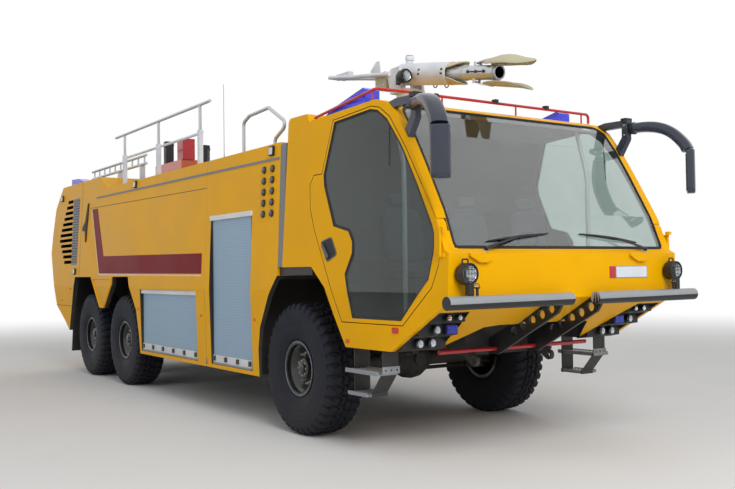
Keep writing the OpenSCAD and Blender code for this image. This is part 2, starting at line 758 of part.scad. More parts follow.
module front_lamps()
  color("dimgray") on_truck() both_sides() {
    // round headlamp on a bracket that stands on the bar
    translate([cab_front + 20, half - 212, 1622]) rotate([0, 90, 0]) cylinder(h = 80, r = 82);
    block(bar_x - 35, bar_x + 15, half - 238, half - 186, bar_z + bar_r + e, 1548);
    // stepped panel in the chin with its lamps
    intersection() {
      side_slab(concat(lamp_steps, reversed(line_offset(lamp_steps, -lamp_panel_t))), 0, body_width);
      plan_slab(lamp_plan, 0, far);
    }
    for (l = step_lamps)
      translate([lamp_x[l[0]] - 5, l[1], lamp_z[l[0]]]) rotate([0, 90, 0])
        cylinder(h = 40, r = l[2], $fn = 24);
  }

step_y = half - 240;
module cab_steps()
  color("lightgray") on_truck() both_sides() {
    for (x = [1120, 1480]) block(x, x + 110, step_y, step_y + 8, 440, 955 - e);
    block(1060, 1600, step_y + 8, step_y + 230, 720, 745);
    block(1060, 1560, step_y + 8, step_y + 230, 440, 465);
  }

module mirror_side() {
  // bracket seated on the pillar beside the windscreen
  seat = line_offset(screen_line, -e);
  side_slab([seat[0], seat[1], seat[2], [1905, 2900], [2085, 2990], [2095, 3110], [1900, 3160],
    [1700, 3160]], half - 188, half - 126);
  // curved arm and the housing that hangs on it
  tube([[2060, half - 157, 3050], [2170, half - 60, 3085], [2430, half + 52, 3000],
    [2525, half + 62, 2700]], 42, 110);
  translate([2520, half + 62, 2575]) rotate([0, 0, 30]) cube([84, 172, 420], center = true);
}

module mirrors() color("dimgray") on_truck() both_sides() mirror_side();

// Point at a height on the lower part of the windscreen, moved straight out of it by d
screen_lean = atan((screen_line[5][0] - screen_line[4][0]) / (screen_line[4][1] - screen_line[5][1]));
function on_screen(y, z, d) = [
  cab_front - 55 - (z - sill_z) * tan(screen_lean) + d * cos(screen_lean), y, z + d * sin(screen_lean)];

wiper_pivot_y = [500 - half, half - 500];
ledge_tilt = atan(30 / 55);
module wipers()
  color("dimgray") on_truck() for (y = wiper_pivot_y) {
    // pivot on the ledge below the glass
    pivot = [cab_front - 28, y, sill_z - 14.7];
    translate(pivot) rotate([0, ledge_tilt, 0]) translate([0, 0, e]) cylinder(h = 34, r = 18, $fn = 24);
    dir = y < 0 ? 1 : -1;
    arm_start = pivot + 24 * [sin(ledge_tilt), 0, cos(ledge_tilt)];
    arm_end = on_screen(y + dir * 430, 1925, 24);
    rod(arm_start, arm_end, 9, 16);
    // blade across the lower edge of the glass
    rod(on_screen(y + dir * 60, 1888, 15), on_screen(y + dir * 800, 1962, 15), 11, 16);
  }

// Roof

// Height of a seat on the cab roof, between the hump and the front edge
function roof_at(x) = roof_z - 42 + (x - 300) * 42 / (cab_front - 1340) + e;

module beacons()
  color("blue") on_truck() both_sides() {
    side_slab([[420, roof_at(420)], [600, 3236], [1150, 3352], [1190, 3330], [1190, roof_at(1190)]],
      half - 320, half - 160);
    z = tail_top_z + e;
    side_slab([[tail_x + 690, z], [tail_x + 690, z + 150], [tail_x + 1100, z + 130],
      [tail_x + 1560, z + 20], [tail_x + 1560, z]], half - 380, half - 210);
  }

pipe_r = 14;
pipe_x = 1395;        // cross run over the windscreen
module spray_pipes()
  color("firebrick") on_truck() {
    // along the right edge of the roof and part of the way across
    tube([[330, 135 - half, 3192], [pipe_x, 135 - half, 3298], [pipe_x, 530 - half, 3306]], pipe_r, 40);
    for (x = [360, pipe_x - 60])
      rod([x, 135 - half, roof_at(x) + 0.2], [x, 135 - half, 3192 + (x - 330) * 0.0995], 9);
    // over the windscreen and down at the left end
    tube([[pipe_x, -640, 3300], [pipe_x, half - 92, 3300], [pipe_x, half - 92, 3205]], pipe_r, 40);
    for (y = [-600, 350, half - 200]) rod([pipe_x, y, roof_at(pipe_x) + 0.2], [pipe_x, y, 3300], 9);
    // under the chin, through the bumper's arms
    translate([chin_pipe[0], 0, chin_pipe[1]]) rotate([90, 0, 0])
      cylinder(h = 1880, r = chin_pipe_r, center = true, $fn = 24);
  }

module roof_ladder()
  color("silver") on_truck() {
    y = 500 - half;
    for (z = [3376, 3504]) rod([-8120, y, z], [-5400, y, z], 22);
    for (i = [0:9]) rod([-8000 + i * 280, y, 3376], [-8000 + i * 280, y, 3504], 14);
    for (x = [-7800, -6650, -5600])
      block(x, x + 40, y - 40, y + 40, (x < rear_axle_x + 500 ? tail_top_z : deck_z) + e, 3360);
  }

module roof_equipment()
  color("firebrick") on_truck() {
    block(-4750, -3760, 400 - half, 900 - half, deck_z + e, 3250);
    block(-3930, -3730, 410 - half, 590 - half, 3250, 3540);
    block(-4520, -4430, 440 - half, 560 - half, 3250, 3590);
    block(-3240, -3160, 440 - half, 560 - half, deck_z + e, 3380);
  }

module grab_rails()
  color("lightgray") on_truck() both_sides() {
    foot = body_top_z + e;
    line = [[-1400, foot], [-1400, 3400], [-1250, 3458], [-780, 3478], [-350, 3240],
      [-640, foot + 90], [-640, foot]];
    tube([for (p = line) [p[0], half - 200, p[1]]], 20, 60);
  }

post_x = [-5430, -4020, -2580];
module handrail_posts()
  color("white") on_truck() both_sides() {
    for (x = post_x)
      difference() {
        block(x - 32, x + 32, handrail_y - 26, handrail_y + 26, body_top_z + e, handrail_mid_z + 10);
        block(x - 20.5, x + 20.5, handrail_y - 14.5, handrail_y + 14.5, body_top_z + 30, far);
      }
    rod([post_x[0] - 60, handrail_y - 40, handrail_mid_z - 20], [post_x[2] - 20, handrail_y - 40, handrail_mid_z - 20], 18);
  }

module handrail_upper(side)
  on_truck() mirror([0, side < 0 ? 1 : 0, 0]) {
    for (x = post_x)
      block(x - 20, x + 20, handrail_y - 14, handrail_y + 14, handrail_mid_z - 40, handrail_top_z);
    rod([post_x[0] - 400, handrail_y, handrail_top_z], [post_x[2] + 310, handrail_y, handrail_top_z], 20);
  }

module handrail_left() color("silver") handrail_upper(1);
module handrail_right() color("silver") handrail_upper(-1);

// Monitor

yaw_x = 50;
base_top_z = 3570;
spigot_r = 70;
yoke_in = shroud_r + 12;
yoke_out = yoke_in + 33;
trunnion_r = 24;
module monitor_base()
  color("white") on_truck() translate([yaw_x, 0, 0]) {
    translate([0, 0, 3238 + e]) cylinder(h = 24, r = 150);
    translate([0, 0, 3238 + e]) cylinder(h = base_top_z - 3238 - 2 * e, r = 105);
    translate([0, 0, base_top_z - 10]) cylinder(h = 60, r = spigot_r);
  }

module monitor_turret()
  color("white") on_truck() translate([yaw_x, 0, 0]) difference() {
    union() {
      translate([0, 0, base_top_z]) cylinder(h = 90, r = 125);
      block(-100, 100, -yoke_out, yoke_out, 3610, 3660);
      both_sides() {
        side_slab([[-100, 3610], [100, 3610], [70, pivot_z + 60], [-70, pivot_z + 60], [-150, pivot_z + 20]],
          yoke_in, yoke_out);
        // tiller frame behind the yoke
        tube([[-90, yoke_out + 10, pivot_z], [-480, yoke_out + 10, pivot_z + 60],
          [-1000, 60, pivot_z + 150], [-1540, 60, pivot_z + 245]], 24, 120);
      }
      rod([-1500, -70, pivot_z + 238], [-1500, 70, pivot_z + 238], 24);
    }
    translate([0, 0, base_top_z - 1]) cylinder(h = 51.5, r = spigot_r + 0.08);
    translate([0, 0, pivot_z]) rotate([90, 0, 0]) cylinder(h = 900, r = trunnion_r + 0.08, center = true);
  }

module barrel_place() on_truck() translate([yaw_x, 0, pivot_z]) rotate([0, barrel_tilt, 0]) children();

module turned_x(profile) rotate([0, 90, 0]) rotate_extrude($fn = 48) polygon(profile);

shroud_len = 800;
nozzle_len = 1520;
flap_x = 1190;        // deflector hinge along the barrel
flap_z = nozzle_r + 18;
flap_pin_r = 6;
module monitor_barrel()
  color("white") barrel_place() difference() {
    union() {
      turned_x([[0, -60], [shroud_r, -60], [shroud_r, shroud_len], [shroud_r - 10, shroud_len],
        [shroud_r - 10, 60], [nozzle_r, 60], [nozzle_r, nozzle_len], [mouth_r, nozzle_len],
        [mouth_r, nozzle_len - 300], [0, nozzle_len - 300]]);
      rotate([90, 0, 0]) cylinder(h = 2 * yoke_out, r = trunnion_r, center = true);
      for (dir = [-1, 1]) mirror([0, 0, dir < 0 ? 1 : 0]) both_sides()
        block(flap_x - 16, flap_x + 16, 32, 44, 55, flap_z + 14);
    }
    for (dir = [-1, 1])
      translate([flap_x, 0, dir * flap_z]) rotate([90, 0, 0])
        cylinder(h = 200, r = flap_pin_r + 0.05, center = true);
  }

// Inner line of a deflector along the barrel: a peak above, a low sweep below
flap_lines = [
  [[flap_x, flap_z - 5], [flap_x + 60, flap_z + 12], [1330, 118], [1620, 153], [2000, 94]],
  [[flap_x, flap_z - 5], [flap_x + 60, flap_z + 12], [1330, 118], [1560, 130], [2000, 150]]];
flap_t = 11;
module deflector(side)
  barrel_place() mirror([0, 0, side < 0 ? 1 : 0]) {
    line = flap_lines[side < 0 ? 1 : 0];
    blade = [for (p = line) if (p[0] >= 1330) p];
    translate([flap_x, 0, flap_z]) rotate([90, 0, 0]) {
      cylinder(h = 88, r = flap_pin_r, center = true);
      cylinder(h = 64 - 2 * e, r = 12, center = true);
    }
    side_slab(concat(line, reversed([for (p = line) p + [0, flap_t]])), -31, 31);
    side_slab(concat(blade, reversed([for (p = blade) p + [0, flap_t]])), -80, 80);
  }

module deflector_upper() color("beige") deflector(1);
module deflector_lower() color("beige") deflector(-1);

chassis_frame();
driveline();
suspension();
front_axle();
rear_axles();
knuckle_left();
knuckle_right();
tie_rod();
tyre_front_left();
tyre_front_right();
tyre_middle_left();
tyre_middle_right();
tyre_rear_left();
tyre_rear_right();
rim_front_left();
rim_front_right();
rim_middle_left();
rim_middle_right();
rim_rear_left();
rim_rear_right();
engine_block();
front_body();
rear_body();
engine_cover();
shutters();
side_fittings();
mudguards();
cab_shell();
cab_interior();
windscreen();
door_left();
door_right();
door_glass_left();
door_glass_right();
bumper();
front_lamps();
cab_steps();
mirrors();
wipers();
beacons();
spray_pipes();
roof_ladder();
roof_equipment();
grab_rails();
handrail_posts();
handrail_left();
handrail_right();
monitor_base();
monitor_turret();
monitor_barrel();
deflector_upper();
deflector_lower();
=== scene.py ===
"""Looks of a three-axle airport fire truck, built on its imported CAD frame.

Lengths are in metres. Each piece is worked out in stations, with x counted from the front
axle, y to the left and z up from the ground, and is moved into the frame as its mesh is made.
"""

from __future__ import annotations

import logging
import math
from dataclasses import dataclass
from enum import Enum
from typing import Callable, Sequence

import bmesh
import bpy
import numpy as np
from mathutils import Matrix

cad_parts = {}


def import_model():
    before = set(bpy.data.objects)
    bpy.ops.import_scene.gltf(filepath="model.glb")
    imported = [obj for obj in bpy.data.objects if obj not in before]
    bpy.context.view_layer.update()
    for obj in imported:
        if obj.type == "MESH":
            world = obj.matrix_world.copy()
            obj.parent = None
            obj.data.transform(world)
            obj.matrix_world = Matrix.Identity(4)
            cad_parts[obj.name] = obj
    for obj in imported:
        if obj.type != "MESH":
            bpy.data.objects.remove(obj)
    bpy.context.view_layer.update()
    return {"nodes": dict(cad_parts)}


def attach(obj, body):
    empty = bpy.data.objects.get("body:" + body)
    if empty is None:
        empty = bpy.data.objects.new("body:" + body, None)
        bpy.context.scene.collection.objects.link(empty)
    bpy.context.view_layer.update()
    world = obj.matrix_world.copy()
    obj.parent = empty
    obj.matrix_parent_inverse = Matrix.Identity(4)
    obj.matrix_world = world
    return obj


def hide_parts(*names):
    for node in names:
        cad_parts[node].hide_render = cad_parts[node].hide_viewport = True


Array = np.ndarray
Surface = Callable[[Array, Array, Array], Array]
Mask = Callable[[Array, Array], Array]
Material = bpy.types.Material
Socket = bpy.types.NodeSocket
Pair = tuple[float, float]
Place = tuple[float, float, float]
Colour = tuple[float, float, float, float]
Line = tuple[Pair, ...]
Tray = tuple[float, float, float, float]

log = logging.getLogger("fire_truck")

AXLE_X = 3.243
SIDES = {"left": 1.0, "right": -1.0}
AXLES = {"front": 0.0, "middle": -5.243, "rear": -6.893}
CLEAR = 0.0003      # applied pieces start this far above the skin they lie on
NEAR = 0.004        # a face closer than this to a surface belongs to it
SHARP = 38.0        # degrees: edges sharper than this are bevelled and shaded sharp
FLAT_ON = 0.9       # a face looks along an axis when its normal passes this share
FORWARD, LEFT, UP = (1, 0, 0), (0, 1, 0), (0, 0, 1)

# ---------------------------------------------------------------- the truck's own lines

WAIST_Z = 1.468
CAB_REAR = -0.160
CAB_FRONT = 2.450
LEAN_ABOVE = 0.042
LEAN_BELOW = 0.030
WIDEST = 1.5
GLASS_OUT = (0.93, 0, 0.37)
MONITOR_AXIS = (0.050, 0.0, 3.835)
MONITOR_DROOP = 10.0
TAPER = math.atan(0.028)
SCREEN_LINE = np.array([
    [1.600, 3.140], [1.710, 3.040], [1.850, 2.850], [2.020, 2.570], [2.260, 2.150],
    [2.395, 1.820]])
CAB_OUTLINE = np.array([
    [-0.160, 1.705], [-0.105, 3.205], [-0.070, 3.238], [0.250, 3.238], [0.300, 3.154],
    [1.410, 3.196], [1.600, 3.140], [1.710, 3.040], [1.850, 2.850], [2.020, 2.570],
    [2.260, 2.150], [2.395, 1.820], [2.450, 1.790], [2.450, 1.400], [1.665, 0.955],
    [0.975, 0.955], [0.795, 1.245], [0.650, 1.500], [0.400, 1.705]])
COVER_OUTLINE = np.array([
    [-7.301, 3.230], [-7.301, 1.620], [-7.533, 1.620], [-7.925, 0.695], [-8.201, 0.860],
    [-8.691, 1.114], [-8.971, 1.750], [-9.101, 2.060], [-9.031, 2.400], [-8.881, 2.870],
    [-8.461, 3.230]])
GLASS_OUTLINE = np.array([
    [0.585, 2.590], [0.755, 3.085], [1.337, 3.120], [1.450, 3.095], [1.596, 2.995],
    [1.818, 2.728], [2.045, 2.368], [2.240, 2.027], [2.275, 1.928], [2.262, 1.785],
    [2.205, 1.577], [1.828, 1.225], [1.100, 1.225], [0.985, 1.632], [1.095, 1.820],
    [1.095, 1.925], [1.030, 2.024], [0.778, 2.083], [0.600, 2.480]])
SCREEN_OUTLINE = np.array([
    [-1.300, 1.834], [1.300, 1.834], [1.292, 3.050], [1.230, 3.112], [-1.230, 3.112],
    [-1.292, 3.050]])


def half_width(z: Array) -> Array:
    """Half width of the body at a height: it leans in above and below the waist crease.

    Args:
        z: heights.

    Returns:
        The half widths.
    """
    z = np.asarray(z, float)
    return WIDEST - np.where(z > WAIST_Z, LEAN_ABOVE * (z - WAIST_Z), LEAN_BELOW * (WAIST_Z - z))


def cab_half_width(x: Array, z: Array) -> Array:
    """Half width of the cab: the body's own, narrowing by the taper towards the front."""
    return (half_width(z) - (np.asarray(x) - CAB_REAR) * math.sin(TAPER)) / math.cos(TAPER)


def screen_x(z: Array) -> Array:
    """Station of the windscreen's outer face at a height, along its side line."""
    return np.interp(z, SCREEN_LINE[::-1, 1], SCREEN_LINE[::-1, 0])


def body_side(side: float) -> Surface:
    """The leaning side of the body, as a surface over x and z with a height outwards.

    Args:
        side: 1 on the left, -1 on the right.

    Returns:
        A function that gives places from two coordinates and a height.
    """
    def surface(x: Array, z: Array, height: Array) -> Array:
        """Point at x and z, moved outwards by the height."""
        return np.stack([x, side * (half_width(z) + height), z], -1)
    return surface


def cab_side(side: float) -> Surface:
    """The tapering side of the cab, as a surface over x and z with a height outwards.

    Args:
        side: 1 on the left, -1 on the right.

    Returns:
        A function that gives places from two coordinates and a height.
    """
    def surface(x: Array, z: Array, height: Array) -> Array:
        """Point at x and z, moved outwards by the height."""
        return np.stack([x, side * (cab_half_width(x, z) + height), z], -1)
    return surface


def screen_face(y: Array, z: Array, height: Array) -> Array:
    """Point of the windscreen at y and z, moved straight out of the leaning glass.

    Args:
        y: places across the truck.
        z: heights.
        height: distance out of the surface.

    Returns:
        The points, as stations.
    """
    slope = (screen_x(z - 0.01) - screen_x(z + 0.01)) / 0.02
    length = np.hypot(1.0, slope)
    return np.stack([screen_x(z) + height / length, y + 0 * z, z + height * slope / length], -1)


def nose_face(y: Array, z: Array, height: Array) -> Array:
    """Point of the flat nose at y and z, moved forward by the height."""
    return np.stack([CAB_FRONT + height + 0 * y, y, z], -1)


# ---------------------------------------------------------------- mesh tools


def unit(v: Array) -> Array:
    """Vectors of length one along the last axis."""
    v = np.asarray(v, float)
    return v / np.maximum(np.linalg.norm(v, axis=-1, keepdims=True), 1e-12)


def offset_outline(outline: Array, sideways: float, closed: bool = True) -> Array:
    """Outline moved sideways by the same distance along all its edges.

    Each corner moves along the sum of its two edge normals, divided by one plus their dot
    product, which keeps every edge parallel to itself.

    Args:
        outline: corners in two coordinates.
        sideways: distance, positive to the right of the outline's direction.
        closed: whether the last corner is joined to the first.

    Returns:
        The moved corners.
    """
    ahead = np.roll(outline, -1, 0) - outline
    back = outline - np.roll(outline, 1, 0)
    if not closed:
        ahead[-1] = back[-1]
        back[0] = ahead[0]
    m = unit(np.stack([back[:, 1], -back[:, 0]], -1))
    k = unit(np.stack([ahead[:, 1], -ahead[:, 0]], -1))
    dot = (m * k).sum(-1, keepdims=True)
    return outline + (m + k) * sideways / np.maximum(1 + dot, 0.2)


def rounded(corners: Array, radius: float, steps: int = 6, closed: bool = True) -> Array:
    """Line with each corner replaced by a curve.

    A corner becomes a parabola between two points a set distance before and after it, or
    at most 0.45 of the shorter edge, with the corner as its middle control point.

    Args:
        corners: points in two or three coordinates.
        radius: how far from a corner its curve starts.
        steps: points in each curve.
        closed: whether the last corner is joined to the first.

    Returns:
        The points of the rounded line.
    """
    corners = np.asarray(corners, float)
    before = np.roll(corners, 1, 0) - corners
    after = np.roll(corners, -1, 0) - corners
    near = np.minimum(np.linalg.norm(before, axis=1), np.linalg.norm(after, axis=1))
    cut = np.minimum(radius, 0.45 * near)[:, None]
    a, b = corners + unit(before) * cut, corners + unit(after) * cut
    if not closed:
        a[0] = b[0] = corners[0]
        a[-1] = b[-1] = corners[-1]
    t = np.linspace(0, 1, steps)[None, :, None]
    curve = (1 - t) ** 2 * a[:, None] + 2 * t * (1 - t) * corners[:, None] + t ** 2 * b[:, None]
    if closed:
        return curve.reshape(-1, corners.shape[1])
    return np.vstack([curve[0, :1], curve[1:-1].reshape(-1, corners.shape[1]), curve[-1, -1:]])


def resampled(line: Array, step: float) -> Array:
    """Points at even spacing along an open line, its corners kept as near as the step allows.

    Args:
        line: points in two or three coordinates.
        step: longest distance between points.

    Returns:
        The new points.
    """
    length = np.concatenate([[0], np.cumsum(np.linalg.norm(np.diff(line, axis=0), axis=1))])
    at = np.linspace(0, length[-1], max(2, int(length[-1] / step) + 1))
    return np.stack([np.interp(at, length, line[:, i]) for i in range(line.shape[1])], -1)


def circle(radius: float, count: int = 16) -> Array:
    """Points of a circle about the origin, in two coordinates.

    Args:
        radius: its radius.
        count: number of points.

    Returns:
        The points.
    """
    t = np.linspace(0, 2 * np.pi, count, endpoint=False)
    return radius * np.stack([np.cos(t), np.sin(t)], -1)


def rectangle(width: float, height: float) -> Array:
    """Corners of a rectangle about the origin."""
    w, h = width / 2, height / 2
    return np.array([[-w, -h], [w, -h], [w, h], [-w, h]])


def smooth(t: Array) -> Array:
    """Zero below 0, one above 1 and an even s-curve between."""
    t = np.clip(t, 0, 1)
    return t * t * (3 - 2 * t)


class Shape:
    """Surfaces gathered in stations, which then become one mesh.

    Every surface added is closed, so that its faces can be turned outwards at the end.
    """

    def __init__(self) -> None:
        """Starts with nothing in it."""
        self.points: list[Array] = []
        self.faces: list[list[int]] = []
        self.slots: list[int] = []
        self.count = 0

    def add(self, points: Array, faces: Sequence[Array], slot: int = 0) -> None:
        """Adds points and the faces between them.

        Args:
            points: places, three coordinates each.
            faces: blocks of faces, each an array with one row of point numbers per face.
            slot: number of the finish among those given to the finished piece.
        """
        flat = np.asarray(points, float).reshape(-1, 3)
        for block in faces:
            rows = (np.atleast_2d(block) + self.count).tolist()
            self.faces += rows
            self.slots += [slot] * len(rows)
        self.points.append(flat)
        self.count += len(flat)

    def grid(self, points: Array, around: bool = False, ring: bool = False,
             ends: bool = False, slot: int = 0) -> None:
        """Adds a surface given as points on a grid, neighbours joined by four-sided faces.

        First and last rows that aren't joined are closed by a flat face.

        Args:
            points: rows and columns of places.
            around: whether the last row is joined to the first.
            ring: whether the last column is joined to the first.
            ends: whether the first and last columns are closed by a flat face.
            slot: number of the finish.
        """
        rows, columns = points.shape[:2]
        index = np.arange(rows * columns).reshape(rows, columns)
        wide = np.vstack([index, index[:1]]) if around else index
        wide = np.hstack([wide, wide[:, :1]]) if ring else wide
        quads = np.stack([wide[:-1, :-1], wide[1:, :-1], wide[1:, 1:], wide[:-1, 1:]], -1)
        blocks = [quads.reshape(-1, 4)]
        if not around:
            blocks += [index[0], index[-1][::-1]]
        if ends:
            blocks += [index[:, 0], index[::-1, -1]]
        self.add(points, blocks, slot)

    def slab(self, outline: Array, low: float, high: float, surface: Surface,
             slot: int = 0) -> None:
        """Adds a flat piece that lies on a surface, between two heights above it.

        Args:
            outline: corners in the surface's two coordinates.
            low: height of its underside.
            high: height of its upper side.
            surface: what it lies on.
            slot: number of the finish.
        """
        u, v = np.asarray(outline, float).T
        heights = [surface(u, v, np.full(len(u), h)) for h in (low, high)]
        self.grid(np.stack(heights), ring=True, slot=slot)

    def bead(self, line: Array, profile: Array, surface: Surface, closed: bool = True,
             slot: int = 0) -> None:
        """Adds a strip that follows a line on a surface.

        Each profile point gives a copy of the line, moved sideways by its first number and
        lifted off the surface by its second, and the copies are joined in order.

        Args:
            line: the line, in the surface's two coordinates.
            profile: sideways and outward numbers of the strip's section.
            surface: what it lies on.
            closed: whether the line's ends meet.
            slot: number of the finish.
        """
        line, rings = np.asarray(line, float), []
        for sideways, height in profile:
            moved = offset_outline(line, sideways, closed)
            rings.append(surface(moved[:, 0], moved[:, 1], np.full(len(line), height)))
        self.grid(np.stack(rings, 1), around=closed, ring=True, slot=slot)

    def sweep(self, profile: Array, path: Array, up: Sequence[float] = UP,
              scale: Array | None = None, closed: bool = False, slot: int = 0) -> None:
        """Adds a closed profile carried along a path.

        At each path point the section stands square to the path: its first number runs along
        the cross product of direction and up, and its second along what is square to both.

        Args:
            profile: closed outline in two coordinates.
            path: points of the path.
            up: direction that the section's second number follows as near as it can.
            scale: size of the section at each path point.
            closed: whether the path's ends meet.
            slot: number of the finish.
        """
        path = np.asarray(path, float)
        if closed:
            along = unit(np.roll(path, -1, 0) - np.roll(path, 1, 0))
        else:
            along = unit(np.gradient(path, axis=0))
        side = unit(np.cross(along, np.asarray(up, float)))
        top = np.cross(side, along)
        size = np.ones(len(path)) if scale is None else np.asarray(scale, float)
        grid = (path[:, None] + size[:, None, None] * (
            profile[None, :, 0, None] * side[:, None] + profile[None, :, 1, None] * top[:, None]))
        self.grid(grid, around=closed, ring=True, slot=slot)

    def tube(self, points: Array, radius: float, bend: float = 0.05, sides: int = 14,
             up: Sequence[float] = (0.13, 0.21, 0.97), slot: int = 0) -> None:
        """Adds a round tube through points, its corners rounded.

        Args:
            points: ends and corners of its middle line.
            radius: its radius.
            bend: how far from a corner it starts to turn.
            sides: number of steps round it.
            up: direction from which those steps are counted.
            slot: number of the finish.
        """
        path = rounded(points, bend, 7, closed=False) if len(points) > 2 else points
        self.sweep(circle(radius, sides), path, up, slot=slot)

    def lathe(self, profile: Array, origin: Sequence[float], axis: Sequence[float],
              sides: int = 32, slot: int = 0) -> None:
        """Adds a turned form: a profile of radius and distance along an axis, carried round it.

        Args:
            profile: radius and distance pairs; where it starts or ends off the axis, a flat
                disc closes it.
            origin: where distance is zero.
            axis: direction of the axis.
            sides: number of steps round the axis.
            slot: number of the finish.
        """
        first, last = profile[0], profile[-1]
        foot = [[0, first[1]]] if first[0] else []
        head = [[0, last[1]]] if last[0] else []
        profile = np.array([*foot, *profile, *head], float)
        axis = unit(axis)
        first = unit(np.cross(axis, [0.0, 0.0, 1.0] if abs(axis[2]) < 0.9 else [1.0, 0, 0]))
        second = np.cross(axis, first)
        t = np.linspace(0, 2 * np.pi, sides, endpoint=False)
        spoke = np.cos(t)[:, None] * first + np.sin(t)[:, None] * second
        radius = np.maximum(profile[:, 0], 1e-5)
        grid = (np.asarray(origin, float) + radius[None, :, None] * spoke[:, None]
                + profile[None, :, 1, None] * axis)
        self.grid(grid, around=True, ends=True, slot=slot)

    def box(self, low: Sequence[float], high: Sequence[float], slot: int = 0) -> None:
        """Adds a block between two corners, to be softened by a bevel.

        Args:
            low: lowest corner.
            high: highest corner.
            slot: number of the finish.
        """
        (x1, y1, z1), (x2, y2, z2) = low, high
        base = np.array([[x1, y1], [x2, y1], [x2, y2], [x1, y2]])
        grid = np.stack([np.c_[base, np.full(4, z)] for z in (z1, z2)])
        self.grid(grid, ring=True, slot=slot)

    def side_box(self, side: float, x: Pair, y: Pair, z: Pair, slot: int = 0) -> None:
        """Adds a block on one side of the truck.

        Args:
            side: 1 on the left, -1 on the right.
            x: its ends along the truck.
            y: its inner and outer face, counted from the truck's middle.
            z: its bottom and top.
            slot: number of the finish.
        """
        low, high = sorted((side * y[0], side * y[1]))
        self.box((x[0], low, z[0]), (x[1], high, z[1]), slot)

    def turned(self, matrix: Array, origin: Sequence[float], start: int = 0) -> None:
        """Turns what was added since a point number, about an origin, by a matrix.

        Args:
            matrix: the turn.
            origin: place that it is about.
            start: number of the first point that turns.
        """
        kept = 0
        for i, block in enumerate(self.points):
            if kept >= start:
                self.points[i] = (block - origin) @ np.asarray(matrix).T + origin
            kept += len(block)

    def doubled(self) -> "Shape":
        """The shape with its mirror image on the other side of the truck's centre plane.

        Returns:
            A new shape, the mirror image first.
        """
        both = Shape()
        both.points = [p * np.array([1.0, -1.0, 1.0]) for p in self.points]
        both.faces, both.slots, both.count = list(self.faces), list(self.slots), self.count
        both.join(self)
        return both

    def join(self, other: "Shape") -> None:
        """Adds all of another shape.

        Args:
            other: the other shape.
        """
        self.faces += [[i + self.count for i in f] for f in other.faces]
        self.slots += other.slots
        self.points += other.points
        self.count += other.count


def turn_y(degrees: float) -> Array:
    """Matrix of a turn about the sideways axis, nose down for a positive angle."""
    c, s = math.cos(math.radians(degrees)), math.sin(math.radians(degrees))
    return np.array([[c, 0, s], [0, 1, 0], [-s, 0, c]])


def piece(name: str, shape: Shape, finishes: Sequence[Material], body: str,
          bevel: float = 0.0, replaces: Sequence[str] = (),
          angle: float = SHARP) -> bpy.types.Object:
    """Makes the object of a shape, finished and riding on its body.

    Args:
        name: the piece's name.
        shape: its surfaces, in stations.
        finishes: materials, in the order of the shape's slots.
        body: frame body that it moves with.
        bevel: width of the bevel on its sharp edges, or zero.
        replaces: CAD nodes that it stands for.
        angle: edges sharper than this stay sharp when shaded.

    Returns:
        The object.
    """
    mesh = bpy.data.meshes.new(name)
    points = np.vstack(shape.points) + [AXLE_X, 0, 0]
    mesh.from_pydata(points.tolist(), [], shape.faces)
    mesh.polygons.foreach_set("material_index", np.array(shape.slots, np.int32))
    work = bmesh.new()
    work.from_mesh(mesh)
    bmesh.ops.recalc_face_normals(work, faces=work.faces)
    work.to_mesh(mesh)
    work.free()
    mesh.shade_smooth()
    mesh.set_sharp_from_angle(angle=math.radians(angle))
    mesh.validate()
    obj = bpy.data.objects.new(name, mesh)
    bpy.context.scene.collection.objects.link(obj)
    for finish in finishes:
        mesh.materials.append(finish)
    if bevel:
        soften = obj.modifiers.new("Bevel", "BEVEL")
        soften.width = bevel
        soften.segments = 2
        soften.limit_method = "ANGLE"
        soften.angle_limit = math.radians(SHARP)
        soften.harden_normals = True
    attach(obj, body)
    if replaces:
        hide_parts(*replaces)
    log.info("%s: %d faces on %s", name, len(mesh.polygons), body)
    return obj


# ---------------------------------------------------------------- finishes


def shade(red: int, green: int, blue: int) -> Colour:
    """Linear colour from the 0 to 255 numbers of a screen colour.

    Args:
        red: red, 0 to 255.
        green: green, 0 to 255.
        blue: blue, 0 to 255.

    Returns:
        Red, green, blue and 1 in linear numbers.
    """
    c = np.array([red, green, blue]) / 255
    linear = np.where(c <= 0.04045, c / 12.92, ((c + 0.055) / 1.055) ** 2.4)
    return (*[float(v) for v in linear], 1.0)


class Grain(Enum):
    """How a surface is uneven when seen close."""

    PEEL = "sprayed paint, slow ripples"
    BRUSHED = "fine lines along the length"
    MOULDED = "small pebbles of moulded plastic or rubber"
    CAST = "rough casting under thick paint"


PEEL, BRUSHED, MOULDED, CAST = Grain
Relief = tuple[Grain, float, float]


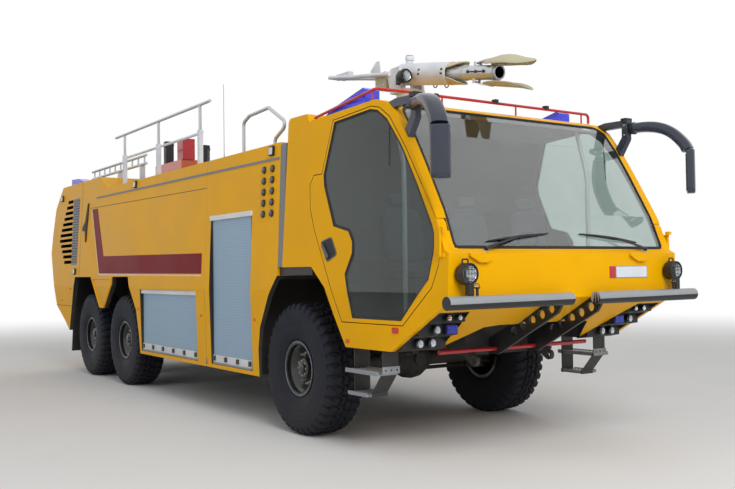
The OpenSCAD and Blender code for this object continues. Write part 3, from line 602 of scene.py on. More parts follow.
class Wiring:
    """Short calls that put nodes into a node tree and join them."""

    def __init__(self, tree: bpy.types.NodeTree) -> None:
        """Keeps the tree to work in."""
        self.tree = tree

    def node(self, kind: str, inputs: dict[str | int, object] | None = None,
             **settings: object) -> bpy.types.Node:
        """Adds a node, sets its properties, and fills or links its inputs.

        Args:
            kind: type name of the node.
            inputs: values or sockets by input name or number.
            settings: properties of the node.

        Returns:
            The node.
        """
        made = self.tree.nodes.new(kind)
        for key, value in settings.items():
            setattr(made, key, value)
        self.fill(made, inputs or {})
        return made

    def fill(self, node: bpy.types.Node, inputs: dict[str | int, object]) -> None:
        """Sets or links the inputs of a node.

        Args:
            node: the node.
            inputs: values or sockets by input name or number.
        """
        for key, value in inputs.items():
            if isinstance(value, Socket):
                self.tree.links.new(value, node.inputs[key])
            else:
                node.inputs[key].default_value = value

    def noise(self, vector: Socket, scale: object,
              detail: float = 3.0) -> Socket:
        """Noise value between about 0.3 and 0.7 at a place.

        Args:
            vector: place.
            scale: patches per metre.
            detail: how many finer layers are added.

        Returns:
            The value's socket.
        """
        made = self.node("ShaderNodeTexNoise", {"Vector": vector, "Scale": scale,
                                                "Detail": detail})
        return made.outputs[0]

    def ramp(self, value: Socket, low: float, high: float,
             out_low: float = 0.0, out_high: float = 1.0) -> Socket:
        """Value carried from one range to another, held at its ends.

        Args:
            value: what is carried over.
            low: start of its range.
            high: end of its range.
            out_low: result at the start.
            out_high: result at the end.

        Returns:
            The result's socket.
        """
        made = self.node("ShaderNodeMapRange", {
            "Value": value, "From Min": low, "From Max": high, "To Min": out_low,
            "To Max": out_high}, interpolation_type="SMOOTHSTEP")
        return made.outputs[0]

    def math(self, how: str, first: object, second: object = 0.5) -> Socket:
        """Sum, product or other plain operation on two values."""
        return self.node("ShaderNodeMath", {0: first, 1: second}, operation=how).outputs[0]

    def mix(self, factor: object, first: object, second: object) -> Socket:
        """Blend of two colours."""
        inputs = {0: factor, 6: first, 7: second}
        return self.node("ShaderNodeMix", inputs, data_type="RGBA").outputs[2]


def new_material(name: str) -> tuple[Material, Wiring, Socket]:
    """Starts a material that reads Object coordinates.

    Args:
        name: name of the material.

    Returns:
        The material, its wiring and the socket of the coordinates.
    """
    material = bpy.data.materials.new(name)
    material.use_nodes = True
    material.node_tree.nodes.clear()
    wiring = Wiring(material.node_tree)
    return material, wiring, wiring.node("ShaderNodeTexCoord").outputs["Object"]


def new_group(name: str, inputs: Sequence[tuple[str, str, float]],
              outputs: Sequence[str]) -> tuple[bpy.types.NodeTree, Wiring, bpy.types.Node]:
    """Starts a shared shader group.

    Args:
        name: name of the group.
        inputs: name, socket type and default of each input.
        outputs: names of its value outputs.

    Returns:
        The group, its wiring and its input node.
    """
    tree = bpy.data.node_groups.new(name, "ShaderNodeTree")
    for label, kind, value in inputs:
        socket = tree.interface.new_socket(label, in_out="INPUT", socket_type=kind)
        if kind == "NodeSocketFloat":
            socket.default_value = value
    for label in outputs:
        tree.interface.new_socket(label, in_out="OUTPUT", socket_type="NodeSocketFloat")
    wiring = Wiring(tree)
    return tree, wiring, wiring.node("NodeGroupInput")


class SharedEffects:
    """Shader groups that most finishes use: slow changes of tone, dust and fine relief."""

    def __init__(self) -> None:
        """Builds the groups once."""
        self.weather = self._weather()
        self.relief = {grain: self._relief(grain) for grain in Grain}

    def _weather(self) -> bpy.types.NodeTree:
        """Group that gives slow patches of tone, dust low on the truck, and fine specks.

        Returns:
            The group, with outputs Tone, Dust and Specks.
        """
        tree, w, start = new_group("weather", [
            ("Vector", "NodeSocketVector", 0), ("Scale", "NodeSocketFloat", 1.0),
            ("Dust height", "NodeSocketFloat", 1.2)], ["Tone", "Dust", "Specks"])
        place, scale = start.outputs["Vector"], start.outputs["Scale"]
        tone = w.ramp(w.noise(place, scale, 4.0), 0.3, 0.7)
        parts = w.node("ShaderNodeSeparateXYZ", {0: place})
        patch = w.noise(place, w.math("MULTIPLY", scale, 3.7), 5.0)
        level = w.math("ADD", parts.outputs[2], w.math("MULTIPLY", patch, 0.9))
        share = w.math("DIVIDE", level, w.math("ADD", start.outputs["Dust height"], 0.45))
        dust = w.ramp(share, 0.45, 1.1, 1.0, 0.0)
        specks = w.ramp(w.noise(place, w.math("MULTIPLY", scale, 60.0), 2.0), 0.62, 0.74)
        w.node("NodeGroupOutput", {"Tone": tone, "Dust": dust, "Specks": specks})
        return tree

    def _relief(self, grain: Grain) -> bpy.types.NodeTree:
        """Group that gives the height of one kind of fine unevenness.

        Args:
            grain: the kind.

        Returns:
            The group, with the output Height.
        """
        tree, w, start = new_group(f"relief_{grain.name.lower()}", [
            ("Vector", "NodeSocketVector", 0), ("Scale", "NodeSocketFloat", 100.0)], ["Height"])
        place, scale = start.outputs["Vector"], start.outputs["Scale"]
        if grain is Grain.BRUSHED:
            stretched = w.node("ShaderNodeMapping", {"Vector": place, "Scale": (0.02, 1, 1)})
            height = w.noise(stretched.outputs[0], scale, 2.0)
        elif grain is Grain.MOULDED:
            cells = w.node("ShaderNodeTexVoronoi", {"Vector": place, "Scale": scale})
            height = w.ramp(cells.outputs[0], 0.1, 0.8, 1.0, 0.0)
        elif grain is Grain.CAST:
            fine = w.noise(place, scale, 6.0)
            coarse = w.noise(place, w.math("MULTIPLY", scale, 0.2), 2.0)
            height = w.math("ADD", fine, coarse)
        else:
            height = w.noise(place, scale, 1.0)
        w.node("NodeGroupOutput", {"Height": height})
        return tree


@dataclass(frozen=True)
class Finish:
    """One opaque surface finish: colour, gloss, wear and fine relief."""

    name: str
    screen: tuple[int, int, int]
    rough: float = 0.5
    metal: float = 0.0
    coat: float = 0.0
    tone: float = 0.12
    dust: float = 0.25
    dust_height: float = 1.2
    relief: Relief = (Grain.PEEL, 0.01, 0.0002)
    patch: float = 1.3
    dust_colour: Colour = (0.17, 0.15, 0.12, 1.0)
    shine: float = 0.5

    def build(self, effects: SharedEffects) -> Material:
        """Makes the material.

        Args:
            effects: the shared shader groups.

        Returns:
            The material, with tone, dust and relief from Object coordinates.
        """
        material, w, place = new_material(self.name)
        weather = w.node("ShaderNodeGroup", node_tree=effects.weather)
        w.fill(weather, {"Vector": place, "Scale": self.patch, "Dust height": self.dust_height})
        colour = shade(*self.screen)
        deep = tuple(v * (1 - self.tone) for v in colour[:3]) + (1.0,)
        pale = tuple(min(1.0, v * (1 + 0.5 * self.tone)) for v in colour[:3]) + (1.0,)
        colour = w.mix(weather.outputs["Tone"], deep, pale)
        amount = w.math("MULTIPLY", weather.outputs["Dust"], self.dust)
        colour = w.mix(amount, colour, self.dust_colour)
        specks = w.math("MULTIPLY", weather.outputs["Specks"], 0.12 * self.dust)
        colour = w.mix(specks, colour, self.dust_colour)
        change = w.math("MULTIPLY", weather.outputs["Tone"], 0.08)
        rough = w.math("ADD", w.math("ADD", change, self.rough - 0.04),
                       w.math("MULTIPLY", amount, 0.35))
        grain, size, depth = self.relief
        relief = w.node("ShaderNodeGroup", node_tree=effects.relief[grain])
        w.fill(relief, {"Vector": place, "Scale": 1.0 / size})
        bump = w.node("ShaderNodeBump", {"Height": relief.outputs["Height"], "Strength": 1.0,
                                         "Distance": depth})
        shader = w.node("ShaderNodeBsdfPrincipled", {
            "Base Color": colour, "Roughness": rough, "Metallic": self.metal,
            "Coat Weight": self.coat, "Coat Roughness": 0.08, "Normal": bump.outputs[0],
            "Specular IOR Level": self.shine})
        w.node("ShaderNodeOutputMaterial", {"Surface": shader.outputs[0]})
        return material


@dataclass(frozen=True)
class Glazing:
    """Clear or tinted glass, or a coloured lens."""

    name: str
    screen: tuple[int, int, int]
    rough: float = 0.02
    clear: float = 1.0
    ior: float = 1.45
    ribs: float = 0.0
    patch: float = 2.0
    film: float = 0.04
    depth: float = 0.93

    def build(self, effects: SharedEffects) -> Material:
        """Makes the material.

        Args:
            effects: the shared shader groups.

        Returns:
            The material, with a faint film of dust and, on lenses, moulded ribs.
        """
        material, w, place = new_material(self.name)
        weather = w.node("ShaderNodeGroup", node_tree=effects.weather)
        w.fill(weather, {"Vector": place, "Scale": self.patch})
        film = w.math("MULTIPLY", weather.outputs["Specks"], self.film)
        rough = w.math("ADD", film, self.rough)
        tint = shade(*self.screen)
        deep = tuple(v * self.depth for v in tint[:3]) + (1.0,)
        colour = w.mix(weather.outputs["Tone"], deep, tint)
        inputs = {"Base Color": colour, "Roughness": rough, "IOR": self.ior,
                  "Transmission Weight": self.clear}
        if self.ribs:
            wave = w.node("ShaderNodeTexWave", {"Vector": place, "Scale": 1.0 / self.ribs},
                          bands_direction="Z")
            bump = w.node("ShaderNodeBump", {"Height": wave.outputs[1], "Distance": 0.002})
            inputs["Normal"] = bump.outputs[0]
        shader = w.node("ShaderNodeBsdfPrincipled", inputs)
        through = w.node("ShaderNodeBsdfTransparent", {"Color": tint})
        shadow = w.node("ShaderNodeLightPath").outputs["Is Shadow Ray"]
        both = w.node("ShaderNodeMixShader", {0: w.math("MULTIPLY", shadow, self.clear),
                                              1: shader.outputs[0], 2: through.outputs[0]})
        w.node("ShaderNodeOutputMaterial", {"Surface": both.outputs[0]})
        return material


FINISHES: dict[str, Finish | Glazing] = {
    "yellow": Finish("enamel_yellow", (238, 174, 2), 0.34, tone=0.05, dust=0.04, dust_height=0.9,
        shine=0.09, relief=(PEEL, 0.02, 0.00005)),
    "under": Finish("chassis_black", (30, 31, 34), 0.6, dust=0.22, dust_height=2.0,
        relief=(CAST, 0.02, 0.0006)),
    "tyre": Finish("tyre_rubber", (24, 27, 37), 0.66, dust=0.05, dust_height=1.0, patch=4.0,
        shine=0.25, relief=(MOULDED, 0.006, 0.0003)),
    "rim": Finish("rim_black", (20, 21, 24), 0.26, dust=0.08, dust_height=1.0, coat=0.35,
        patch=5.0, relief=(PEEL, 0.012, 0.00005)),
    # Pale grey-blue for the ring round the rim's edge: a painted highlight on the black rim.
    "rim_edge": Finish("rim_painted_highlight_grey", (120, 128, 142), 0.36, metal=0.4, dust=0.08, patch=5.0,
        relief=(PEEL, 0.012, 0.00005)),
    "nut": Finish("plated_nuts", (196, 200, 176), 0.3, metal=0.8, dust=0.1, patch=30.0,
        relief=(CAST, 0.01, 0.0003)),
    "slats": Finish("slat_aluminium", (150, 176, 198), 0.42, metal=0.15, tone=0.04, dust=0.05,
        shine=0.25, relief=(BRUSHED, 0.004, 0.00005)),
    "rail_white": Finish("shutter_rail_white", (226, 228, 228), 0.4, dust=0.2,
        relief=(PEEL, 0.01, 0.0002)),
    "grey": Finish("trim_grey", (120, 124, 130), 0.5, dust=0.1, relief=(MOULDED, 0.004, 0.0002)),
    "seal": Finish("seal_black", (22, 22, 24), 0.62, dust=0.08, relief=(MOULDED, 0.003, 0.0001)),
    "black": Finish("moulded_black", (28, 29, 32), 0.42, dust=0.12,
        relief=(MOULDED, 0.004, 0.00025)),
    "trim": Finish("cabin_trim", (56, 58, 62), 0.7, dust=0.0, relief=(MOULDED, 0.006, 0.00005)),
    "fabric": Finish("seat_cloth", (44, 46, 54), 0.9, dust=0.0, relief=(MOULDED, 0.005, 0.0003)),
    "shell": Finish("mirror_shell", (40, 46, 60), 0.24, dust=0.03, coat=0.3,
        relief=(PEEL, 0.02, 0.00005)),
    "silver": Finish("nozzle_silver", (196, 200, 202), 0.3, metal=0.7, dust=0.03, tone=0.06,
        relief=(BRUSHED, 0.004, 0.00005)),
    "bar": Finish("bar_grey", (150, 154, 158), 0.38, dust=0.06, coat=0.1,
        relief=(PEEL, 0.02, 0.0002)),
    "steps": Finish("step_aluminium", (150, 155, 162), 0.42, metal=0.6, dust=0.08,
        relief=(BRUSHED, 0.004, 0.0002)),
    "steel": Finish("rail_steel", (196, 198, 202), 0.28, metal=0.9, tone=0.08, dust=0.03,
        relief=(BRUSHED, 0.003, 0.0001)),
    "red": Finish("pipe_red", (188, 26, 38), 0.3, coat=0.4, dust=0.05,
        relief=(PEEL, 0.01, 0.0002)),
    "wine": Finish("stripe_wine", (124, 10, 24), 0.38, tone=0.04, dust=0.02, shine=0.06,
        relief=(PEEL, 0.02, 0.00005)),
    "white": Finish("monitor_white", (222, 227, 234), 0.42, dust=0.03, patch=3.0,
        relief=(PEEL, 0.01, 0.00008)),
    "cap": Finish("cap_grey", (92, 97, 95), 0.34, metal=0.5, dust=0.05,
        relief=(PEEL, 0.01, 0.00005)),
    "cream": Finish("deflector_cream", (196, 190, 160), 0.55, dust=0.1,
        relief=(MOULDED, 0.004, 0.0002)),
    "orange": Finish("marker_orange", (222, 84, 12), 0.25, coat=0.6, tone=0.1, dust=0.05,
        relief=(PEEL, 0.006, 0.0004)),
    "glow_red": Finish("lamp_red", (190, 18, 22), 0.22, coat=0.7, dust=0.05,
        relief=(PEEL, 0.006, 0.0004)),
    "tread": Finish("deck_tread", (128, 130, 132), 0.5, metal=0.5, dust=0.2, dust_height=4.2,
        relief=(CAST, 0.03, 0.0015)),
    "mirror": Finish("mirror_face", (225, 230, 235), 0.04, metal=1.0, tone=0.02, dust=0.02,
        relief=(PEEL, 0.05, 0.00001)),
    "chrome": Finish("bright_reflector", (228, 230, 232), 0.12, metal=1.0, tone=0.05, dust=0.02,
        relief=(PEEL, 0.02, 0.00005)),
    "glass": Glazing("window_glass", (236, 243, 240), ior=1.95),
    "side_glass": Glazing("side_window_glass", (172, 188, 184)),
    "lens": Glazing("lamp_lens", (240, 244, 246), 0.04, ribs=0.05),
    "blue": Glazing("beacon_blue", (84, 96, 255), 0.1, 0.35, ribs=0.08),
}


class Paints:
    """Every finish of the truck, built once and kept under its key in the table."""

    def __init__(self) -> None:
        """Builds the shared groups and the materials."""
        effects = SharedEffects()
        for key, finish in FINISHES.items():
            setattr(self, key, finish.build(effects))


@dataclass
class Assembly:
    """A sub-assembly that dresses its pieces in the truck's finishes."""

    paints: Paints


# ---------------------------------------------------------------- the CAD nodes' own faces

BODY_ENDS = np.array([-0.270, -2.106, -2.110, -7.301])
ENDS_ABOVE = 1.55
ROOF_EDGE = 2.925
DECK_Z = 2.93
ARCH_END, ARCH_TOP = -7.930, 1.625
BOX_TOP = 3.252
BORE_START, BORE_RADIUS = 0.95, 0.062
SHROUD_END, NOZZLE_RADIUS = 0.801, 0.078


def distance_to_line(points: Array, outline: Array) -> Array:
    """Distance from each point to the nearest edge of a closed outline, in two coordinates.

    Args:
        points: places in two coordinates.
        outline: corners of the outline.

    Returns:
        The distances.
    """
    a, b = outline, np.roll(outline, -1, 0)
    ab = b - a
    t = ((points[:, None] - a) * ab).sum(-1) / (ab * ab).sum(-1)
    nearest = a + np.clip(t, 0, 1)[..., None] * ab
    return np.linalg.norm(points[:, None] - nearest, axis=-1).min(1)


def on_skin(at: Array, normal: Array) -> Array:
    """Faces on the leaning outer side of the body."""
    return np.abs(np.abs(at[:, 1]) - half_width(at[:, 2])) < NEAR


def body_ends(at: Array, normal: Array) -> Array:
    """Faces above the frame on the flat ends of the body's modules."""
    outer = np.abs(at[:, :1] - BODY_ENDS).min(1) < 0.006
    return (np.abs(normal[:, 0]) > FLAT_ON) & (at[:, 2] > ENDS_ABOVE) & outer


def body_paint(at: Array, normal: Array) -> Array:
    """Painted faces of the body: its sides, its top edges and the ends above the frame."""
    return on_skin(at, normal) | (at[:, 2] > ROOF_EDGE) | body_ends(at, normal)


def on_edge(at: Array, normal: Array, outline: Array) -> Array:
    """Faces on a side outline that don't look sideways."""
    near = distance_to_line(at[:, [0, 2]], outline) < NEAR
    return near & (np.abs(normal[:, 1]) < 0.5)


def deck(at: Array, normal: Array) -> Array:
    """The walking deck sunk between the body's top edges."""
    return (normal[:, 2] > FLAT_ON) & (np.abs(at[:, 2] - DECK_Z) < 0.01)


def cover_paint(at: Array, normal: Array) -> Array:
    """Outer faces of the engine cover: its leaning sides and its outline."""
    arch = (at[:, 0] > ARCH_END) & (at[:, 2] < ARCH_TOP)
    return on_skin(at, normal) | (on_edge(at, normal, COVER_OUTLINE) & ~arch)


def door_hinges(at: Array, normal: Array) -> Array:
    """Faces of the doors' hinges."""
    return (at[:, 0] > 2.150) & (np.abs(at[:, 1]) > 1.310) & (np.abs(at[:, 2] - 1.95) < 0.27)


def cab_paint(at: Array, normal: Array) -> Array:
    """Outer faces of the cab and doors: tapering sides, outline and the doors' hinges; the door
    jambs are left out, so their dark is painted shade.
    """
    side = np.abs(np.abs(at[:, 1]) - cab_half_width(at[:, 0], at[:, 2])) < NEAR
    return side | on_edge(at, normal, CAB_OUTLINE) | door_hinges(at, normal)


def bar_grey_top_shaded_below(at: Array, normal: Array) -> Array:
    """Upper half of the bumper's bar, between its end caps, which takes the bar's grey; the lower
    half keeps the bumper's black as painted shade.
    """
    y = np.abs(at[:, 1])
    return (at[:, 0] > 2.495) & (at[:, 2] > 1.388) & (y > 0.150) & (y < 1.500)


def side_markers(at: Array, normal: Array) -> Array:
    """Small markers low on the sides."""
    return at[:, 2] < 1.3


def side_lenses(at: Array, normal: Array) -> Array:
    """Outer faces of the lamps high on the sides."""
    return (at[:, 2] > 2.88) & (np.abs(normal[:, 1]) > FLAT_ON)


def roof_box(at: Array, normal: Array) -> Array:
    """The low box on the roof."""
    return (at[:, 2] < BOX_TOP) & (at[:, 0] < -3.5)


def roof_lamps(at: Array, normal: Array) -> Array:
    """The two upright lamp holders on the roof."""
    return (at[:, 0] < -4.42) & (at[:, 2] > BOX_TOP) | (at[:, 0] > -3.3)


def bore_painted_shade(at: Array, normal: Array) -> Array:
    """Faces inside the bore at the barrel's mouth, black as painted shade in the hollow."""
    back = (at - MONITOR_AXIS) @ turn_y(MONITOR_DROOP)
    return (back[:, 0] > BORE_START) & (np.hypot(back[:, 1], back[:, 2]) < BORE_RADIUS)


def barrel_silver(at: Array, normal: Array) -> Array:
    """The nozzle ahead of the shroud."""
    back = (at - MONITOR_AXIS) @ turn_y(MONITOR_DROOP)
    return (back[:, 0] > SHROUD_END) & (np.hypot(back[:, 1], back[:, 2]) < NOZZLE_RADIUS)


def tiller_tip(at: Array, normal: Array) -> Array:
    """Rear end of the tiller's tubes."""
    return at[:, 0] < -1.430


@dataclass
class CadDressing(Assembly):
    """Finishes of the CAD nodes that show as they are."""

    nodes: dict[str, bpy.types.Object]

    def dress(self, name: str, base: Material,
              *regions: tuple[Material, Mask]) -> None:
        """Gives a node its finishes, face by face.

        Args:
            name: the node.
            base: finish of the faces that no region takes.
            regions: finishes with the test that picks their faces, the last one winning.
        """
        mesh = self.nodes[name].data
        mesh.materials.clear()
        mesh.materials.append(base)
        count = len(mesh.polygons)
        at, normal = np.zeros(count * 3), np.zeros(count * 3)
        mesh.polygons.foreach_get("center", at)
        mesh.polygons.foreach_get("normal", normal)
        at, normal = at.reshape(-1, 3) - [AXLE_X, 0, 0], normal.reshape(-1, 3)
        index = np.zeros(count, np.int32)
        for number, (finish, test) in enumerate(regions, 1):
            mesh.materials.append(finish)
            index[test(at, normal)] = number
        mesh.polygons.foreach_set("material_index", index)
        mesh.update()

    def build(self) -> None:
        """Dresses every node."""
        p = self.paints
        plain = (
            (p.under, ("chassis_frame", "driveline", "suspension", "front_axle", "rear_axles",
                       "knuckle_left", "knuckle_right", "tie_rod", "engine_block")),
            (p.black, ("mudguards", "front_lamps", "mirrors", "wipers")),
            (p.side_glass, ("door_glass_left", "door_glass_right")),
            (p.steel, ("grab_rails", "handrail_left", "handrail_right")),
            (p.white, ("handrail_posts", "monitor_base")),
            (p.cream, ("deflector_upper", "deflector_lower")),
            (p.slats, ("shutters",)), (p.trim, ("cab_interior",)), (p.glass, ("windscreen",)),
            (p.steps, ("cab_steps",)), (p.blue, ("beacons",)), (p.red, ("spray_pipes",)),
            (p.silver, ("roof_ladder",)))
        for finish, names in plain:
            for name in names:
                self.dress(name, finish)
        for row in AXLES:
            for side in SIDES:
                self.dress(f"tyre_{row}_{side}", p.tyre)
                self.dress(f"rim_{row}_{side}", p.rim)
        for name in ("front_body", "rear_body"):
            self.dress(name, p.under, (p.yellow, body_paint), (p.tread, deck))
        self.dress("engine_cover", p.under, (p.yellow, cover_paint))
        # The bar is a grey tube all round: only its upper half is grey, and the black of its lower
        # half is painted shade.
        self.dress("bumper", p.black, (p.bar, bar_grey_top_shaded_below))
        self.dress("side_fittings", p.seal, (p.white, side_lenses), (p.orange, side_markers))
        self.dress("roof_equipment", p.red, (p.orange, roof_box), (p.black, roof_lamps))
        self.dress("monitor_turret", p.white, (p.black, tiller_tip))
        # Black inside the bore at the mouth is painted shade in the hollow.
        self.dress("monitor_barrel", p.white, (p.silver, barrel_silver), (p.black, bore_painted_shade))
        # Faces off the yellow skin take the dark cabin trim; on the door jambs this dark stands
        # for the seals and is painted shade in the door gaps.
        self.dress("cab_shell", p.trim, (p.yellow, cab_paint))
        for side in SIDES:
            self.dress(f"door_{side}", p.trim, (p.yellow, cab_paint))
        log.info("CAD nodes dressed")


# ---------------------------------------------------------------- wheels


@dataclass
class Wheels(Assembly):
    """Block-tread tyres, wheel nuts and hub details."""

    radius: float = 0.672
    half: float = 0.220
    wheel_y: float = 1.22
    lugs: int = 38
    steps_per_lug: int = 10
    groove: float = 0.026
    nut_circle: float = 0.158
    nuts: int = 10
    bolt_circle: float = 0.074
    bolts: int = 8
    bead: Pair = (0.164, 0.266)
    step: float = 0.0115
    slant: float = 1.6
    shoulder: float = 0.120
    cross_gap: Pair = (0.46, 0.30)
    ring_at: float = 0.068
    zigzag: Pair = (0.014, 0.010)
    ring_half: Pair = (0.013, 0.008)
    wall_rib: float = 0.0012
    rim_highlight_ring: Pair = (0.272, 0.1815)
    nut: Line = ((0.021, 0), (0.021, 0.008), (0.0165, 0.010), (0.0160, 0.030), (0.010, 0.036),
        (0.008, 0.050))
    hub_bolt: Line = ((0.009, 0), (0.008, 0.008))
    hub_dome: Line = ((0.058, 0.138), (0.055, 0.152), (0.036, 0.158), (0, 0.160))

    def section(self) -> Array:
        """Outer section of a tyre from bead to bead: distance along the axle and radius.

        Returns:
            The section's points.
        """
        r, w = self.radius, self.half
        inner = [[0.164, 0.268], [0.166, 0.288], [0.190, 0.309], [w - 0.006, 0.58 * r],
                 [w, 0.72 * r], [w - 0.003, 0.85 * r], [w - 0.012, 0.93 * r],
                 [w - 0.030, 0.978 * r], [w - 0.060, 0.996 * r], [0.08, r]]
        line = np.array(inner + [[-x, y] for x, y in inner[::-1]])
        return rounded(line, 0.02, 3, closed=False)

    def tyre(self, x: float, side: float) -> Shape:
        """Surface of a tyre.

        The section is carried round the axle. Over the tread and shoulder the radius drops
        by the groove depth wherever the block pattern has a gap: slanted cross grooves that
        change side at the middle, and two zigzag grooves round the tyre.

        Args:
            x: station of the axle.
            side: 1 on the left, -1 on the right.

        Returns:
            The tyre's shape.
        """
        line = resampled(self.section(), self.step)
        across, radius = line[:, 0], line[:, 1]
        turns = self.lugs * self.steps_per_lug
        t = np.linspace(0, 1, turns, endpoint=False)[:, None] * self.lugs
        a = across[None, :]
        zig = np.abs((t % 1.0) - 0.5) * 4 - 1
        half_of = np.where(a >= 0, 0.0, 0.5)
        slant = t + half_of + np.abs(a) * self.slant
        cross = np.abs((slant % 1.0) - 0.5) * 2
        width = np.where(np.abs(a) > self.shoulder, *self.cross_gap)
        gap_cross = smooth((width - cross) / 0.14)
        ring_at = self.ring_at + self.zigzag[0] * zig
        gap_ring = smooth((self.ring_half[0] - np.abs(np.abs(a) - ring_at)) / 0.006)
        gap_mid = smooth((self.ring_half[1] - np.abs(a - self.zigzag[1] * zig)) / 0.006)
        gap = np.maximum(np.maximum(gap_cross, gap_ring), gap_mid)
        reach = smooth((radius[None, :] / self.radius - 0.885) / 0.05)
        wall = (radius < 0.80 * self.radius) * (radius > 0.33)
        ribs = self.wall_rib * np.cos(radius * 420) * wall
        r = radius[None, :] - self.groove * gap * reach + 0 * t
        y = a * (1 - 0.02 * gap * reach) + np.sign(a) * (ribs[None, :] - self.wall_rib)
        angle = t / self.lugs * 2 * np.pi
        grid = np.stack([x + r * np.cos(angle), side * self.wheel_y + y + 0 * angle,
                         self.radius + r * np.sin(angle)], -1)
        shape = Shape()
        rims = np.broadcast_to(angle, (len(angle), 2))
        reach, inner = self.bead
        ends = side * self.wheel_y + reach * np.sign([a[0, 0], a[0, -1]]) + 0 * rims
        closing = np.stack([x + inner * np.cos(rims), ends,
                            self.radius + inner * np.sin(rims)], -1)
        full = np.concatenate([closing[:, :1], grid, closing[:, 1:]], 1)
        shape.grid(full, around=True, ring=True)
        return shape

    def nut_ring(self, x: float, side: float) -> Shape:
        """Wheel nuts on the disc and the bolts of the hub.

        Args:
            x: station of the axle.
            side: 1 on the left, -1 on the right.

        Returns:
            The shape.
        """
        shape = Shape()
        middle = np.array([x, side * self.wheel_y, self.radius])
        out = np.array([0.0, side, 0.0])
        for count, phase, ring, high, form in (
                (self.nuts, 0.5, self.nut_circle, 0.050, self.nut),
                (self.bolts, 0.0, self.bolt_circle, 0.136, self.hub_bolt)):
            for angle in 2 * np.pi * (np.arange(count) + phase) / count:
                spoke = np.array([math.cos(angle), 0, math.sin(angle)])
                shape.lathe(form, middle + ring * spoke + high * out, out, 6)
        return shape

    def hub_cap(self, x: float, side: float) -> Shape:
        """Raised centre of the hub and a thin ring round the rim's outer edge, pale grey as a
        painted highlight on the black rim.

        Args:
            x: station of the axle.
            side: 1 on the left, -1 on the right.

        Returns:
            The shape.
        """
        shape = Shape()
        middle = [x, side * self.wheel_y, self.radius]
        shape.lathe(self.hub_dome, middle, [0.0, side, 0.0], 32)
        # Ring round the rim's edge, slot 1: pale grey as a painted highlight.
        radius, out = (circle(0.005, 8) + self.rim_highlight_ring).T
        t = np.linspace(0, 2 * np.pi, 64, endpoint=False)[:, None]
        grid = np.stack([x + radius * np.cos(t), side * (self.wheel_y + out) + 0 * t,
                         self.radius + radius * np.sin(t)], -1)
        shape.grid(grid, around=True, ring=True, slot=1)
        return shape

    def build(self) -> None:
        """Builds the pieces of all six wheels."""
        for row, x in AXLES.items():
            for side, sign in SIDES.items():
                body = f"wheel_{row}_{side}"
                piece(f"block_tread_{row}_{side}", self.tyre(x, sign), [self.paints.tyre], body,
                      replaces=[f"tyre_{row}_{side}"], angle=32)
                piece(f"wheel_nuts_{row}_{side}", self.nut_ring(x, sign), [self.paints.nut], body)
                piece(f"hub_cap_{row}_{side}", self.hub_cap(x, sign),
                      [self.paints.rim, self.paints.rim_edge], body)


# ---------------------------------------------------------------- roll-up shutters


@dataclass
class RollShutters(Assembly):
    """Slatted curtains of the two lockers on each side, with rails and latches."""

    spans: tuple[Place, ...] = (
        (-1.970, -0.880, 2.340), (-4.345, -2.375, 1.440))
    bottom: float = 0.575
    face: float = 1.452
    pitch: float = 0.030
    rail: float = 0.110
    head: float = 0.058

    def curtain(self, x1: float, x2: float, top: float, side: float) -> Shape:
        """Slatted curtain.

        The section is a row of slats: the face bulges by 2 mm as the square root of a sine
        over each slat and drops back at the joint. It is carried straight along the truck.

        Args:
            x1: rear end.
            x2: front end.
            top: height of the top.
            side: 1 on the left, -1 on the right.

        Returns:
            The curtain's shape.
        """
        low = self.bottom + self.rail
        z = np.linspace(low, top - 0.002, int((top - low) / self.pitch) * 8 + 1)
        phase = ((z - low) / self.pitch) % 1.0
        bulge = 0.002 * np.sqrt(np.clip(np.sin(np.pi * phase), 0, 1))
        front = np.stack([self.face + bulge, z], -1)
        back = np.array([[self.face - 0.016, z[-1]], [self.face - 0.016, z[0]]])
        section = np.vstack([front, back])
        shape = Shape()
        grid = np.stack([np.c_[np.full(len(section), x), side * section[:, 0], section[:, 1]]
                         for x in (x1 + 0.03, x2 - 0.03)])
        shape.grid(grid, ring=True)
        return shape

    def frame(self, x1: float, x2: float, top: float, side: float) -> Shape:
        """Guide channels, head box and bottom rail round a curtain, with its latches.

        Args:
            x1: rear end.
            x2: front end.
            top: height of the top.
            side: 1 on the left, -1 on the right.

        Returns:
            The shape.
        """
        shape = Shape()
        f, low = self.face, self.bottom
        channel = (f - 0.02, f + 0.012)
        for a, b in ((x1 + 0.002, x1 + 0.030), (x2 - 0.030, x2 - 0.002)):
            shape.side_box(side, (a, b), channel, (low + 0.002, top - 0.002), 2)
        shape.side_box(side, (x1 - 0.006, x2 + 0.006), (f - 0.02, f + 0.030),
                       (top - self.head, top - 0.001), 1)
        shape.side_box(side, (x1 + 0.036, x2 - 0.036), (f - 0.018, f + 0.014),
                       (low + 0.002, low + self.rail), 1)
        for x in np.linspace(x1 + 0.075, x2 - 0.075, 6 if x2 - x1 > 1.5 else 4):
            shape.side_box(side, (x - 0.027, x + 0.027), (f + 0.014, f + 0.030),
                           (low + 0.044, low + 0.100), 2)
        shape.side_box(side, (x1 + 0.04, x2 - 0.04), (f + 0.014, f + 0.022),
                       (low + 0.006, low + 0.026))
        return shape

    def build(self) -> None:
        """Builds all four curtains and their frames."""
        slats, frames = Shape(), Shape()
        for side in SIDES.values():
            for x1, x2, top in self.spans:
                slats.join(self.curtain(x1, x2, top, side))
                frames.join(self.frame(x1, x2, top, side))
        p = self.paints
        piece("shutter_slats", slats, [p.slats], "truck",
              replaces=["shutters"], angle=60)
        piece("shutter_frames", frames, [p.steps, p.rail_white, p.black], "truck",
              bevel=0.003)


# ---------------------------------------------------------------- body sides and tail


